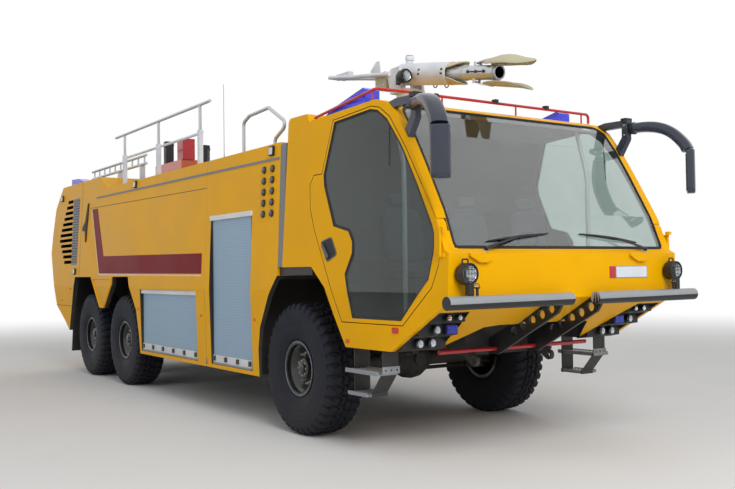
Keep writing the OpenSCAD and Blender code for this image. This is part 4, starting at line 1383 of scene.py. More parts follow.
def plane_at(y: float) -> Surface:
    """An upright plane along the truck, as a surface over x and z with a height along y.

    Args:
        y: its place across the truck.

    Returns:
        A function that gives places from two coordinates and a height.
    """
    def surface(x: Array, z: Array, height: Array) -> Array:
        """Point at x and z, moved sideways by the height."""
        return np.stack([x, y + height, z], -1)
    return surface


@dataclass
class BodyTrim(Assembly):
    """Stripe, trim lines, seams and small fittings on the sides of the body and tail."""

    stripe: Line = (
        (-6.680, 2.725), (-6.400, 2.725), (-6.020, 1.945), (-2.210, 1.900), (-2.210, 1.650),
        (-6.220, 1.676))
    stripe_edge: Line = (
        (-6.706, 2.725), (-6.240, 1.655), (-2.210, 1.628))
    trim: tuple[tuple[Pair, Pair], ...] = (
        ((-2.100, 2.867), (-0.275, 2.853)), ((-6.470, 2.900), (-2.118, 2.867)))
    seams: tuple[tuple[Pair, Pair], ...] = (
        ((-6.780, 2.750), (-2.118, 2.690)), ((-7.250, 3.220), (-7.296, 1.630)),
        ((-8.690, 1.120), (-7.760, 1.120)))
    mesh: Line = (
        (-7.752, 2.970), (-7.400, 2.970), (-7.470, 1.830), (-7.780, 1.830))
    handle: Line = (
        (-6.870, 2.840), (-6.900, 2.840), (-7.020, 2.540), (-7.160, 2.450), (-7.160, 2.390),
        (-7.020, 2.385), (-6.985, 2.200), (-6.955, 2.200), (-6.930, 2.420), (-6.888, 2.600))
    joint: tuple[Pair, Pair] = ((-2.108, 3.170), (-2.108, 0.560))
    edge: Line = ((-0.006, CLEAR), (-0.006, 0.0012), (0.006, 0.0012), (0.006, CLEAR))
    spat_lip: Line = ((0.0, CLEAR), (0.0, 0.014), (0.024, 0.016), (0.032, CLEAR))
    cap_rows: int = 5
    cap_stations: Pair = (-0.610, -0.420)
    cap_top: float = 2.757
    cap_pitch: float = 0.119
    lamps: Line = (
        (-8.450, 3.030), (-7.545, 1.715), (-0.440, 2.945), (-4.650, 2.960))
    marks: Line = (
        (-7.790, 1.413), (-8.350, 1.211), (-4.423, 1.162))
    cab_marks: tuple[tuple[float, float, float, int], ...] = (
        (1.746, 1.143, 0.080, 6), (1.018, 1.013, 0.050, 4))
    spat: Line = (
        (-5.575, 1.612), (-5.575, 1.500), (-5.975, 1.132), (-6.173, 1.132), (-6.498, 1.515),
        (-6.612, 1.612))
    cap_rim: Line = ((0.041, 0.001), (0.041, 0.007), (0.036, 0.010), (0.0345, 0.010))
    cap_dome: Line = ((0.0345, 0.010), (0.0345, 0.020), (0.028, 0.026), (0.012, 0.028),
        (0, 0.0285))

    def strip(self, shape: Shape, ends: Sequence[Sequence[float]], width: float, high: float,
              skin: Surface, slot: int) -> None:
        """Adds a straight strip between two points of the skin.

        Args:
            shape: what it is added to.
            ends: its two ends.
            width: its width.
            high: how far it stands out.
            skin: what it lies on.
            slot: number of the finish.
        """
        a, b = np.array(ends)
        over = unit([a[1] - b[1], b[0] - a[0]]) * width / 2
        shape.slab([a - over, b - over, b + over, a + over], CLEAR, high, skin, slot)

    def flat(self, side: float) -> Shape:
        """Stripe, trim lines, seams, the louvres' mesh strip, handle, markers and spat's lip.

        Args:
            side: 1 on the left, -1 on the right.

        Returns:
            The shape.
        """
        skin = body_side(side)
        shape = Shape()
        shape.slab(self.stripe, CLEAR, 0.0012, skin, 0)
        shape.bead(self.stripe_edge, self.edge, skin, closed=False, slot=1)
        for ends in self.trim:
            self.strip(shape, ends, 0.026, 0.007, skin, 2)
        for ends in self.seams:
            self.strip(shape, ends, 0.007, 0.0010, skin, 3)
        self.strip(shape, self.joint, 0.026, 0.003, skin, 3)
        self.strip(shape, self.joint, 0.010, 0.005, skin, 2)
        shape.slab(self.mesh, CLEAR, 0.004, skin, 2)
        high, right_high, right_low, low = np.array(self.mesh)
        inset, wire = np.array([0.010, 0]), np.array([0, 0.012])
        for t in np.linspace(0.04, 0.96, 24):
            a = low + (high - low) * t + inset
            b = right_low + (right_high - right_low) * t - inset
            shape.slab([a, b, b + wire, a + wire], 0.004, 0.0052, skin, 3)
        shape.slab(self.handle, CLEAR, 0.016, skin, 3)
        for x, z in self.marks:
            shape.slab(rectangle(0.050, 0.030) + [x, z], CLEAR, 0.010, skin, 4)
        for x, z, size, slot in self.cab_marks:
            shape.slab(rectangle(size, 0.6 * size) + [x, z], CLEAR, 0.010, cab_side(side), slot)
        shape.bead(rounded(self.spat, 0.03, 4), self.spat_lip, skin, slot=5)
        return shape

    def lamp(self, shape: Shape, x: float, z: float, side: float) -> None:
        """Adds a small square lamp: a grey case and a pale lens that stands out of it.

        Args:
            shape: what it is added to.
            x: its station.
            z: its height.
            side: 1 on the left, -1 on the right.
        """
        skin = body_side(side)
        for wide, tall, low, high, slot in ((0.100, 0.104, CLEAR, 0.024, 2),
                                            (0.072, 0.078, 0.024, 0.030, 1)):
            face = rounded(rectangle(wide, tall) + [x, z], 0.012, 4)
            shape.slab(face, low, high, skin, slot)

    def caps(self, shape: Shape, side: float) -> None:
        """Adds the bright domed middles and dark rims of the ten round caps.

        Args:
            shape: what they are added to.
            side: 1 on the left, -1 on the right.
        """
        lean = math.atan(LEAN_ABOVE)
        out = [0.0, side * math.cos(lean), math.sin(lean)]
        for x in self.cap_stations:
            for z in self.cap_top - self.cap_pitch * np.arange(self.cap_rows):
                foot = [x, side * float(half_width(z)), z]
                shape.lathe(self.cap_rim, foot, out, 24, 2)
                shape.lathe(self.cap_dome, foot, out, 24, 0)

    def build(self) -> None:
        """Builds the trim of both sides."""
        p = self.paints
        flat, lamps = Shape(), Shape()
        for side in SIDES.values():
            flat.join(self.flat(side))
            for x, z in self.lamps:
                self.lamp(lamps, x, z, side)
            self.caps(lamps, side)
        piece("side_trim", flat, [p.wine, p.white, p.grey, p.seal, p.orange, p.yellow,
                                  p.glow_red], "truck")
        piece("side_lamps_and_caps", lamps, [p.cap, p.white, p.seal], "truck",
              bevel=0.002)


@dataclass
class RearLights(Assembly):
    """Lamp clusters and reflectors on the slanted panel at the tail."""

    centre: Pair = (-8.831, 1.432)
    lean: float = 23.76
    across: Place = (0.990, 1.120, 1.250)
    radius: float = 0.055
    wide: float = 0.410

    def panel(self, y: Array, z: Array, height: Array) -> Array:
        """Point of the slanted panel at y and at z up its slope, moved out by the height.

        Args:
            y: places across the truck.
            z: distances up the slope.
            height: distance out of the surface.

        Returns:
            The points, as stations.
        """
        c, s = math.cos(math.radians(self.lean)), math.sin(math.radians(self.lean))
        return np.stack([self.centre[0] - s * z - c * height, y,
                         self.centre[1] + c * z - s * height], -1)

    def build(self) -> None:
        """Builds both clusters."""
        shape = Shape()
        out = self.panel(np.zeros(1), np.zeros(1), np.ones(1))[0] - [
            self.centre[0], 0, self.centre[1]]
        for side in SIDES.values():
            plate = rounded(rectangle(self.wide, 0.150) + [side * self.across[1], 0.0], 0.02, 5)
            shape.slab(plate, CLEAR, 0.014, self.panel)
            for y, slot in zip(self.across, (1, 2, 3)):
                foot = self.panel(np.array([side * y]), np.zeros(1), np.array([0.014]))[0]
                r = self.radius
                shape.lathe([[r, 0], [r, 0.012], [0.9 * r, 0.016]], foot, out, 32, 0)
                shape.lathe([[0.88 * r, 0.0165], [0.80 * r, 0.024], [0.4 * r, 0.029],
                             [0, 0.030]], foot, out, 32, slot)
            strip = rectangle(self.wide, 0.045) + [side * self.across[1], -0.130]
            shape.slab(rounded(strip, 0.01, 4), CLEAR, 0.006, self.panel, 1)
        p = self.paints
        piece("rear_lamp_clusters", shape, [p.black, p.glow_red, p.orange, p.white], "truck",
              bevel=0.002)


@dataclass
class CabGaiter(Assembly):
    """Grey frame that closes the gap between the body and the cab's rear wall."""

    x1: float = -0.2697
    x2: float = -0.150
    low: float = 1.706
    high: float = 2.995
    inset: float = 0.006
    wide: float = 0.060

    def build(self) -> None:
        """Builds the frame: two upright sides that lean with the body and two cross bars.

        The outer and inner outlines have the same four corners, and the closed band of
        section points between them is carried round the frame.
        """
        def corners(inset: float) -> Array:
            """Corners in y and z, moved in from the body's skin.

            Args:
                inset: distance from the skin.

            Returns:
                The four corners.
            """
            low, high = self.low + inset - self.inset, self.high - inset + self.inset
            a, b = float(half_width(low)) - inset, float(half_width(high)) - inset
            return np.array([[-a, low], [a, low], [b, high], [-b, high]])

        outer, inner = corners(self.inset), corners(self.inset + self.wide)
        rings = [np.c_[np.full(4, x), c] for x, c in (
            (self.x1, outer), (self.x2, outer), (self.x2, inner), (self.x1, inner))]
        shape = Shape()
        shape.grid(np.stack(rings, 1), around=True, ring=True)
        piece("cab_gaiter_frame", shape, [self.paints.grey], "truck", bevel=0.004)


# ---------------------------------------------------------------- windscreen and nose


@dataclass
class FrontFace(Assembly):
    """Windscreen rubber and dark band, wipers, blank plate and the ledges of the wipers."""

    seal: Line = (
        (-0.008, -0.003), (-0.008, 0.003), (-0.002, 0.006), (0.006, 0.005), (0.008, -0.003))
    band: Line = (
        (-0.020, -0.0022), (-0.020, -0.0014), (-0.006, -0.0014), (-0.006, -0.0022))
    pivot: Pair = (2.422, 1.8053)
    pivot_y: float = 1.000
    clips: tuple[float, ...] = (0.16, 0.40, 0.60, 0.84)
    bow: float = 0.020
    tilt: float = 28.6
    plate_at: Pair = (0.772, 1.615)
    plate_end: Pair = (0.510, 1.615)
    ledges: Pair = (-1.090, 0.860)
    ledge_z: float = 1.742
    ledge: Line = ((-0.120, 0.046), (-0.120, 0.022), (-0.020, -0.028), (0.070, -0.030),
        (0.120, 0.005), (0.120, 0.046))
    pivot_base: Line = ((0.026, 0.0005), (0.026, 0.006), (0.021, 0.010), (0.021, 0.014))
    pivot_post: Line = ((0.017, 0.012), (0.017, 0.036), (0.011, 0.042), (0, 0.043))

    def surround(self) -> Shape:
        """Rubber over the edge of the glass, and the printed band inside it.

        Returns:
            The shape.
        """
        line = rounded(SCREEN_OUTLINE, 0.040, 6)
        line = resampled(np.vstack([line, line[:1]]), 0.030)[:-1]
        shape = Shape()
        shape.bead(line, self.seal, screen_face)
        shape.bead(line, self.band, screen_face)
        return shape

    def wiper(self, y: float) -> Shape:
        """One wiper: pivot, tapered arm, bowed blade holder and rubber.

        The blade holder's height over the glass is a half sine along its length.

        Args:
            y: place of the pivot across the truck.

        Returns:
            The wiper's shape.
        """
        shape = Shape()
        inward = -math.copysign(1.0, y)
        up = np.array([math.sin(math.radians(self.tilt)), 0, math.cos(math.radians(self.tilt))])
        foot = np.array([self.pivot[0], y, self.pivot[1]])
        shape.lathe(self.pivot_base, foot, up, 24, 1)
        shape.lathe(self.pivot_post, foot, up, 20, 0)
        t = np.linspace(0, 1, 15)
        end = screen_face(y + inward * 0.430, np.float64(1.925), 0.030)
        start = foot + 0.028 * up
        arm = start + (end - start) * t[:, None] + np.array(GLASS_OUT) * (
            0.016 * np.sin(np.pi * t))[:, None]
        shape.sweep(rectangle(0.024, 0.012), arm, GLASS_OUT, 1.0 - 0.45 * t)
        across, lift = y + inward * (0.06 + 0.74 * t), 1.888 + 0.074 * t
        bow = screen_face(across, lift, 0.013 + self.bow * np.sin(np.pi * t))
        shape.sweep(rectangle(0.012, 0.008), bow, GLASS_OUT, 0.6 + 0.5 * np.sin(np.pi * t))
        rubber = screen_face(across, lift, np.full(len(t), 0.007))
        shape.sweep(rectangle(0.007, 0.014), rubber, GLASS_OUT)
        for share in self.clips:
            at = (np.full(2, np.interp(share, t, line)) for line in (across, lift))
            ends = np.array([0.008, 0.014 + self.bow * math.sin(math.pi * share)])
            shape.sweep(rectangle(0.010, 0.016), screen_face(*at, ends), LEFT)
        return shape

    def plate(self) -> Shape:
        """Blank plate with its coloured end, and the two ledges below the wipers.

        Returns:
            The shape.
        """
        shape = Shape()
        for wide, tall, bend, low, high, slot in ((0.440, 0.112, 0.012, CLEAR, 0.004, 1),
                                                  (0.426, 0.098, 0.010, 0.004, 0.006, 0)):
            face = rounded(rectangle(wide, tall) + self.plate_at, bend, 4)
            shape.slab(face, low, high, nose_face, slot)
        shape.slab(rectangle(0.080, 0.108) + self.plate_end, CLEAR, 0.005, nose_face, 2)
        for y in self.ledges:
            shape.slab(np.array(self.ledge) + [y, self.ledge_z], CLEAR, 0.030, nose_face, 3)
        return shape

    def build(self) -> None:
        """Builds the pieces of the front face."""
        p = self.paints
        piece("windscreen_seal", self.surround(), [p.seal], "truck")
        wipers = self.wiper(-self.pivot_y)
        wipers.join(self.wiper(self.pivot_y))
        piece("wiper_arms_and_blades", wipers, [p.black, p.steel], "truck",
              replaces=["wipers"])
        piece("front_plate", self.plate(), [p.white, p.bar, p.red, p.yellow], "truck",
              bevel=0.004)


def round_lamp(shape: Shape, at: Place, axis: Sequence[float], radius: float,
               back: float, reflector: int = 1) -> None:
    """Adds a round lamp: black case and rim, bright reflector and domed lens.

    Args:
        shape: what it is added to.
        at: middle of the rim's plane.
        axis: direction in which it shines.
        radius: radius of its case.
        back: depth of the case behind the rim, or zero for none.
        reflector: number of the reflector's finish.
    """
    r = radius
    if back:
        shape.lathe([[r, -back - 0.0045], [1.065 * r, -back + 0.008], [1.08 * r, -0.3 * back],
                     [1.10 * r, -0.002], [1.08 * r, 0.012], [0.95 * r, 0.014],
                     [0.90 * r, 0.004]], at, axis, 40, 0)
    else:
        shape.lathe([[1.02 * r, 0.0005], [1.02 * r, 0.006], [0.92 * r, 0.007],
                     [0.88 * r, 0.003]], at, axis, 28, 0)
    lift = 0.0045 if back else 0.0035
    shape.lathe([[0.87 * r, lift], [0.86 * r, lift + 0.002],
                 [0, lift + 0.001]], at, axis, 32, reflector)
    shape.lathe([[0.86 * r, lift + 0.002], [0.82 * r, lift + 0.07 * r],
                 [0.55 * r, lift + 0.16 * r], [0.2 * r, lift + 0.20 * r],
                 [0, lift + 0.205 * r]], at, axis, 32, 2)


@dataclass
class FrontLights(Assembly):
    """Round headlamps over the bumper and the small lamps of the chin panels."""

    head: Place = (2.550, 1.288, 1.622)
    small: tuple[tuple[float, float, float, float, int], ...] = (
        (1.808, 1.226, 1.018, 0.042, 1), (1.808, 1.088, 1.018, 0.042, 1),
        (2.046, 1.223, 1.148, 0.040, 1), (2.217, 1.229, 1.256, 0.028, 3),
        (2.217, 1.111, 1.256, 0.024, 1))
    flash: Place = (2.024, 1.062, 1.148)
    head_case: Pair = (0.082, 0.080)
    guard: Place = (-0.034, 0.0, 0.034)
    guard_radius: float = 0.070
    loop: Line = ((-0.030, 0.080), (-0.030, 0.118), (0.030, 0.118), (0.030, 0.080))
    stem_z: float = 1.449
    stem: Line = ((0.012, 0), (0.012, 0.050), (0.026, 0.060), (0.026, 0.066))
    stem_lens: Line = ((0.020, 0.066), (0.022, 0.080), (0.015, 0.096), (0, 0.101))

    def side(self, side: float) -> Shape:
        """All lamps of one side: headlamp with guard bars and carrying loop, and small lamps.

        Args:
            side: 1 on the left, -1 on the right.

        Returns:
            The shape.
        """
        shape = Shape()
        x, y, z = self.head
        y *= side
        round_lamp(shape, (x, y, z), FORWARD, *self.head_case)
        for off in self.guard:
            reach = math.sqrt(self.guard_radius ** 2 - off ** 2)
            for ends in (((off, -reach), (off, reach)), ((-reach, off), (reach, off))):
                path = [[x + 0.0235, y + a, z + b] for a, b in ends]
                shape.sweep(circle(0.0018, 6), path, FORWARD)
        shape.tube([[x - 0.05, y + a, z + b] for a, b in self.loop], 0.007, 0.018, 8, FORWARD)
        foot = [x + 0.020, y - side * 0.062, self.stem_z]
        shape.lathe(self.stem, foot, UP, 20, 0)
        shape.lathe(self.stem_lens, foot, UP, 20, 2)
        for a, b, c, r, reflector in self.small:
            round_lamp(shape, (a, side * b, c), FORWARD, r, 0.0, reflector)
        fx, fy, fz = self.flash
        for x_range, y, z, slot in (((-0.022, 0.020), 0.066, 0.042, 0),
                                    ((0.0202, 0.034), 0.058, 0.034, 4)):
            shape.side_box(side, (fx + x_range[0], fx + x_range[1]), (fy - y, fy + y),
                           (fz - z, fz + z), slot)
        return shape

    def build(self) -> None:
        """Builds the lamps of both sides."""
        p = self.paints
        shape = self.side(1.0)
        shape.join(self.side(-1.0))
        piece("front_lamp_faces", shape, [p.black, p.chrome, p.lens, p.orange, p.blue], "truck",
              bevel=0.002)


# ---------------------------------------------------------------- mirrors and steps


def superellipse(a: float, b: float, power: float, count: int = 28) -> Array:
    """Closed outline between an ellipse and a rectangle, of half sizes a and b.

    Args:
        a: half of its width.
        b: half of its height.
        power: 2 for an ellipse, more for a boxier form.
        count: number of points.

    Returns:
        The points.
    """
    t = np.linspace(0, 2 * np.pi, count, endpoint=False)
    c, s = np.cos(t), np.sin(t)
    return np.stack([a * np.sign(c) * np.abs(c) ** (2 / power),
                     b * np.sign(s) * np.abs(s) ** (2 / power)], -1)


@dataclass
class Mirrors(Assembly):
    """Curved mirror arms with their brackets, ball joints, housings and glass."""

    joint: Pair = (2.050, 1.380)
    place: Place = (2.548, 1.560, 2.585)
    turn: float = 38.0
    sections: Line = (
        (-0.214, 0.80), (-0.210, 0.88), (-0.200, 0.95), (-0.184, 0.985), (-0.160, 1.0),
        (0.150, 1.0), (0.196, 1.0), (0.2035, 0.985), (0.207, 0.96))
    arm: Line = (
        (-0.015, 3.064), (0.080, 3.066), (0.190, 3.054), (0.290, 3.022), (0.372, 2.970),
        (0.440, 2.900), (0.484, 2.846), (0.505, 2.798))
    plan: Line = (
        (-0.042, -0.078), (-0.036, -0.084), (0.012, -0.080), (0.034, -0.056), (0.042, -0.020),
        (0.042, 0.020), (0.034, 0.056), (0.012, 0.080), (-0.036, 0.084), (-0.042, 0.078))
    bracket: Line = (
        (1.700, 3.156), (1.992, 3.150), (1.992, 2.950), (1.888, 2.794), (1.853, 2.853),
        (1.842, 2.872), (1.922, 2.982), (1.922, 3.082), (1.668, 3.084), (1.606, 3.140))
    ball_joint: Line = ((0.040, -0.070), (0.050, -0.060), (0.056, -0.050), (0.056, -0.010),
        (0.062, -0.004), (0.062, 0.012), (0.050, 0.022))
    bolt: Line = ((0.011, 0), (0.010, 0.006), (0, 0.007))

    def turning(self) -> Pair:
        """Cosine and sine of the housing's turn."""
        return math.cos(math.radians(self.turn)), math.sin(math.radians(self.turn))

    def bracket_shape(self) -> Shape:
        """Open triangle that stands on the pillar, with its clamp block.

        Returns:
            The shape.
        """
        shape = Shape()
        shape.slab(self.bracket, 0.0, 0.062, plane_at(1.312))
        shape.box((1.925, 1.294, 3.128), (1.990, 1.392, 3.170), slot=1)
        shape.lathe(self.ball_joint, [2.020, self.joint[1], 3.064], FORWARD, 32, 1)
        for z in (3.000, 3.100):
            shape.lathe(self.bolt, [1.957, 1.312, z], (0, -1, 0), 8, 2)
        return shape

    def arm_shape(self) -> Shape:
        """Arm: a rounded section carried along the arm's line in its own upright plane.

        Returns:
            The shape.
        """
        shape = Shape()
        along = unit(np.array([self.place[0] - self.joint[0], self.place[1] - self.joint[1]]))
        line = resampled(rounded(self.arm, 0.06, 6, closed=False), 0.022)
        path = np.c_[self.joint[0] + line[:, 0] * along[0],
                     self.joint[1] + line[:, 0] * along[1], line[:, 1]]
        t = np.linspace(0, 1, len(path))
        shape.sweep(superellipse(0.054, 0.074, 3.2), path, (-along[1], along[0], 0),
                    0.90 + 0.10 * smooth(t * 2.5))
        return shape

    def housing(self) -> Shape:
        """Housing: the plan outline carried upwards, drawn in at the rounded ends.

        Heights run from the lower end to the joint with the arm, and each section is scaled
        about the plan's middle.

        Returns:
            The shape.
        """
        shape = Shape()
        outline = rounded(self.plan, 0.012, 4)
        c, s = self.turning()
        flat = outline @ np.array([[c, s], [-s, c]])
        grid = np.stack([np.c_[flat * k + np.array(self.place[:2]),
                               np.full(len(flat), self.place[2] + h)]
                         for h, k in self.sections])
        shape.grid(grid, ring=True)
        return shape

    def glass(self) -> Shape:
        """Mirror glass and its frame on the side of the housing that faces the driver.

        Returns:
            The shape.
        """
        c, s = self.turning()
        place = np.array(self.place)

        def face(y: Array, z: Array, height: Array) -> Array:
            """Point on the housing's flat side, moved out of it by the height."""
            x = -0.0422 - height
            return np.stack([place[0] + x * c - y * s, place[1] + x * s + y * c,
                             place[2] + z], -1)

        shape = Shape()
        for wide, tall, bend, low, high, slot in ((0.142, 0.352, 0.03, 0.0, 0.005, 1),
                                                  (0.128, 0.338, 0.026, 0.005, 0.0062, 3)):
            outline = rounded(rectangle(wide, tall) + [0, -0.010], bend, 6)
            shape.slab(outline, low, high, face, slot)
        return shape

    def build(self) -> None:
        """Builds both mirrors."""
        p = self.paints
        half = Shape()
        for part in (self.bracket_shape(), self.arm_shape(), self.housing(), self.glass()):
            half.join(part)
        piece("mirror_arms_and_housings", half.doubled(), [p.shell, p.black, p.steel, p.mirror],
              "truck", bevel=0.003, replaces=["mirrors"])


@dataclass
class CabSteps(Assembly):
    """Folding steps below each door: two trays on bent hanger plates."""

    inner: float = 1.268
    deep: float = 0.222
    upper: Tray = (1.020, 1.530, 0.735, 0.770)
    lower: Tray = (1.060, 1.362, 0.535, 0.566)
    hanger: Line = ((1.528, 0.9545), (1.528, 0.762), (1.358, 0.566), (1.358, 0.532),
        (1.368, 0.532), (1.368, 0.566), (1.538, 0.762), (1.538, 0.9545))
    hanger_y: float = 1.260
    blocks: tuple[tuple[Place, Place, int], ...] = (
        ((1.080, 1.260, 0.532), (1.090, 1.430, 0.9545), 2),
        ((1.538, 1.252, 0.748), (1.548, 1.438, 0.812), 1))
    holes: Place = (1.283, 1.345, 1.407)
    stud: Line = ((0.010, 0), (0.007, 0.005))
    screw: Line = ((0.0075, 0), (0.0075, 0.001))
    hole: Line = ((0.009, 0), (0.009, 0.001))

    def tray(self, shape: Shape, span: Tray) -> None:
        """Adds a tray with a raised rim, a pale back bar and rows of grip studs.

        Args:
            shape: what it is added to.
            span: rear and front station, underside and top.
        """
        x1, x2, low, high = span
        y1, y2 = self.inner, self.inner + self.deep
        shape.box((x1, y1, low), (x2, y2, high - 0.006), slot=0)
        shape.box((x1, y1, high - 0.006), (x2, y1 + 0.030, high + 0.004), slot=1)
        shape.box((x1, y2 - 0.014, high - 0.006), (x2, y2, high + 0.002), slot=1)
        for x in np.arange(x1 + 0.04, x2 - 0.03, 0.042):
            for y in np.linspace(y1 + 0.055, y2 - 0.040, 4):
                shape.lathe(self.stud, [x, y, high - 0.0062], UP, 8, 0)
        for y in np.linspace(y1 + 0.035, y2 - 0.035, 4):
            shape.lathe(self.screw, [x2, y, (low + high) / 2], FORWARD, 10, 3)

    def side(self) -> Shape:
        """Trays, hangers and the pierced bracket of one side.

        Returns:
            The shape of the left side.
        """
        shape = Shape()
        self.tray(shape, self.upper)
        self.tray(shape, self.lower)
        shape.slab(self.hanger, 0.0, 0.170, plane_at(self.hanger_y), 2)
        for low, high, slot in self.blocks:
            shape.box(low, high, slot)
        for y in self.holes:
            shape.lathe(self.hole, [1.548, y, 0.780], FORWARD, 14, 3)
        return shape

    def build(self) -> None:
        """Builds the steps of both sides."""
        p = self.paints
        piece("step_trays_and_hangers", self.side().doubled(), [p.steps, p.bar, p.black, p.seal],
              "truck", bevel=0.002, replaces=["cab_steps"])


# ---------------------------------------------------------------- cab windows and inside


@dataclass
class DoorTrim(Assembly):
    """Rubber and dark band round the side glass, with the pane's dividing line."""

    rubber: Line = (
        (0.0005, -0.011), (0.0005, -0.0015), (0.006, -0.003), (0.013, -0.0092), (0.013, -0.011))
    band: Line = (
        (0.012, -0.0102), (0.012, -0.0094), (0.026, -0.0094), (0.026, -0.0102))
    divide: Line = ((1.618, 2.960), (1.628, 2.574))
    pocket: Line = (
        (0.575, 1.939), (0.748, 1.980), (0.847, 1.818), (0.689, 1.750))
    pocket_lip: Line = ((-0.008, CLEAR), (-0.008, 0.004), (0.006, 0.004), (0.008, CLEAR))
    grip: Line = (
        (0.590, 1.902), (0.620, 1.925), (0.730, 1.800), (0.700, 1.780))

    def build(self) -> None:
        """Builds the trim of both doors."""
        for name, side in SIDES.items():
            skin = cab_side(side)
            line = rounded(GLASS_OUTLINE, 0.012, 3)
            shape = Shape()
            shape.bead(line, self.rubber, skin)
            shape.bead(line, self.band, skin)
            a, b = np.array(self.divide)
            wide = np.array([0.006, 0.0])
            shape.slab([a - wide, b - wide, b + wide, a + wide], -0.0098, -0.0080, skin)
            pocket = rounded(self.pocket, 0.03, 5)
            shape.bead(pocket, self.pocket_lip, skin, slot=1)
            shape.slab(pocket, CLEAR, 0.0014, skin)
            shape.slab(rounded(self.grip, 0.008, 4), 0.0014, 0.014, skin, 1)
            piece(f"side_glass_rubber_{name}", shape, [self.paints.seal, self.paints.shell],
                  f"door_{name}")


@dataclass
class CabInside(Assembly):
    """Three seats with padded cushions, dash, steering column and wheel."""

    seats: Place = (-0.820, 0.0, 0.820)
    seat_x: float = 1.250
    wheel: Place = (1.745, 0.0, 1.845)
    wheel_turn: float = -46.0
    wheel_radius: float = 0.215
    floor: float = 1.2155
    plinth_top: float = 1.562
    binnacle: Line = ((1.975, 1.705), (2.200, 1.780), (2.170, 1.842), (2.030, 1.835))
    screens: Pair = (-0.75, 0.62)
    poles: Pair = (-1.180, 1.180)
    spokes: Place = (90, 210, 330)
    dash: Line = (
        (1.950, 1.217), (2.005, 1.217), (2.318, 1.450), (2.345, 1.735), (2.250, 1.788),
        (1.965, 1.705), (1.940, 1.560), (2.030, 1.500))
    wheel_hub: Line = ((0.055, -0.02), (0.060, 0.0), (0.045, 0.018), (0, 0.022))

    def pad(self, low: Sequence[float], high: Sequence[float], matrix: Array | None = None,
            crown: float = 0.18) -> Shape:
        """Crowned cushion with sewn channels.

        The form is a superellipsoid: two angles give each point, with all three coordinates
        raised to a small power so that it stays boxy. Its upper side swells by a cosine over
        the width and dips along two sewn lines.

        Args:
            low: lowest corner.
            high: highest corner.
            matrix: turn about its middle, or none.
            crown: how far the upper side swells, as a share of the thickness.

        Returns:
            The cushion's shape.
        """
        low, high = np.array(low, float), np.array(high, float)
        middle, half = (low + high) / 2, (high - low) / 2
        u = np.linspace(0, 2 * np.pi, 40, endpoint=False)[:, None]
        v = np.linspace(-np.pi / 2, np.pi / 2, 22)[None, :]

        def power(t: Array, p: float) -> Array:
            """Signed power."""
            return np.sign(t) * np.abs(t) ** p

        x = power(np.cos(u), 0.42) * power(np.cos(v), 0.30)
        y = power(np.sin(u), 0.42) * power(np.cos(v), 0.30)
        z = power(np.sin(v), 0.45) + 0 * u
        swell = 1 + crown * np.cos(x * 1.4) * np.cos(y * 1.4)
        channel = 1 - 0.10 * np.exp(-((np.abs(y) - 0.45) / 0.04) ** 2)
        top = np.where(z > 0, z * swell * channel, z) / (1 + crown)
        points = np.stack([x, y + 0 * v, top], -1) * half
        if matrix is not None:
            points = points @ np.asarray(matrix).T
        shape = Shape()
        shape.grid(np.swapaxes(points + middle, 0, 1), ring=True)
        return shape

    def seat(self, y: float, number: int) -> None:
        """Builds one seat: padded base, back and headrest on a plinth.

        Args:
            y: its place across the truck.
            number: its number.
        """
        x = self.seat_x
        back = turn_y(-9)
        parts = {
            "cushion": self.pad((x - 0.255, y - 0.245, 1.560), (x + 0.258, y + 0.245, 1.690)),
            "back": self.pad((x - 0.265, y - 0.235, 1.690), (x - 0.155, y + 0.235, 2.270), back),
            "headrest": self.pad((x - 0.300, y - 0.120, 2.275), (x - 0.225, y + 0.120, 2.400),
                                 back)}
        for name, shape in parts.items():
            obj = piece(f"seat_{name}_{number}", shape, [self.paints.fabric], "truck",
                        angle=75)

    def fixed(self) -> Shape:
        """Plinths, dash with its binnacle, column and steering wheel.

        Returns:
            The shape.
        """
        shape = Shape()
        for y in self.seats:
            shape.box((self.seat_x - 0.230, y - 0.170, self.floor),
                      (self.seat_x + 0.200, y + 0.170, self.plinth_top))
        shape.slab(self.dash, -1.270, 1.270, plane_at(0.0))
        shape.slab(self.binnacle, -0.260, 0.260, plane_at(0.0), 1)
        for y in self.screens:
            shape.box((2.000, y - 0.110, 1.720), (2.028, y + 0.110, 1.860), slot=1)
        shape.tube([[2.000, 0, 1.600], [1.760, 0, 1.830]], 0.028, slot=1)
        for y in self.poles:
            shape.tube([[1.560, y, self.floor], [1.560, y, 2.620], [1.420, y, 3.100]],
                       0.022, 0.10, slot=2)
        start = shape.count
        centre = np.array(self.wheel)
        t = np.linspace(0, 2 * np.pi, 48, endpoint=False)
        ring = centre + self.wheel_radius * np.stack([np.cos(t), np.sin(t), 0 * t], -1)
        shape.sweep(circle(0.016, 10), ring, UP, closed=True, slot=1)
        for a in np.radians(self.spokes):
            tip = centre + 0.205 * np.array([math.cos(a), math.sin(a), 0])
            shape.sweep(rectangle(0.030, 0.012), np.stack([centre, tip]), UP, slot=1)
        shape.lathe(self.wheel_hub, centre, UP, 28, 1)
        shape.turned(turn_y(self.wheel_turn), centre, start)
        return shape

    def build(self) -> None:
        """Builds the inside of the cab."""
        p = self.paints
        piece("dash_and_seat_plinths", self.fixed(), [p.trim, p.black, p.bar], "truck", bevel=0.008, replaces=["cab_interior"])
        for number, y in enumerate(self.seats, 1):
            self.seat(y, number)


# ---------------------------------------------------------------- roof monitor


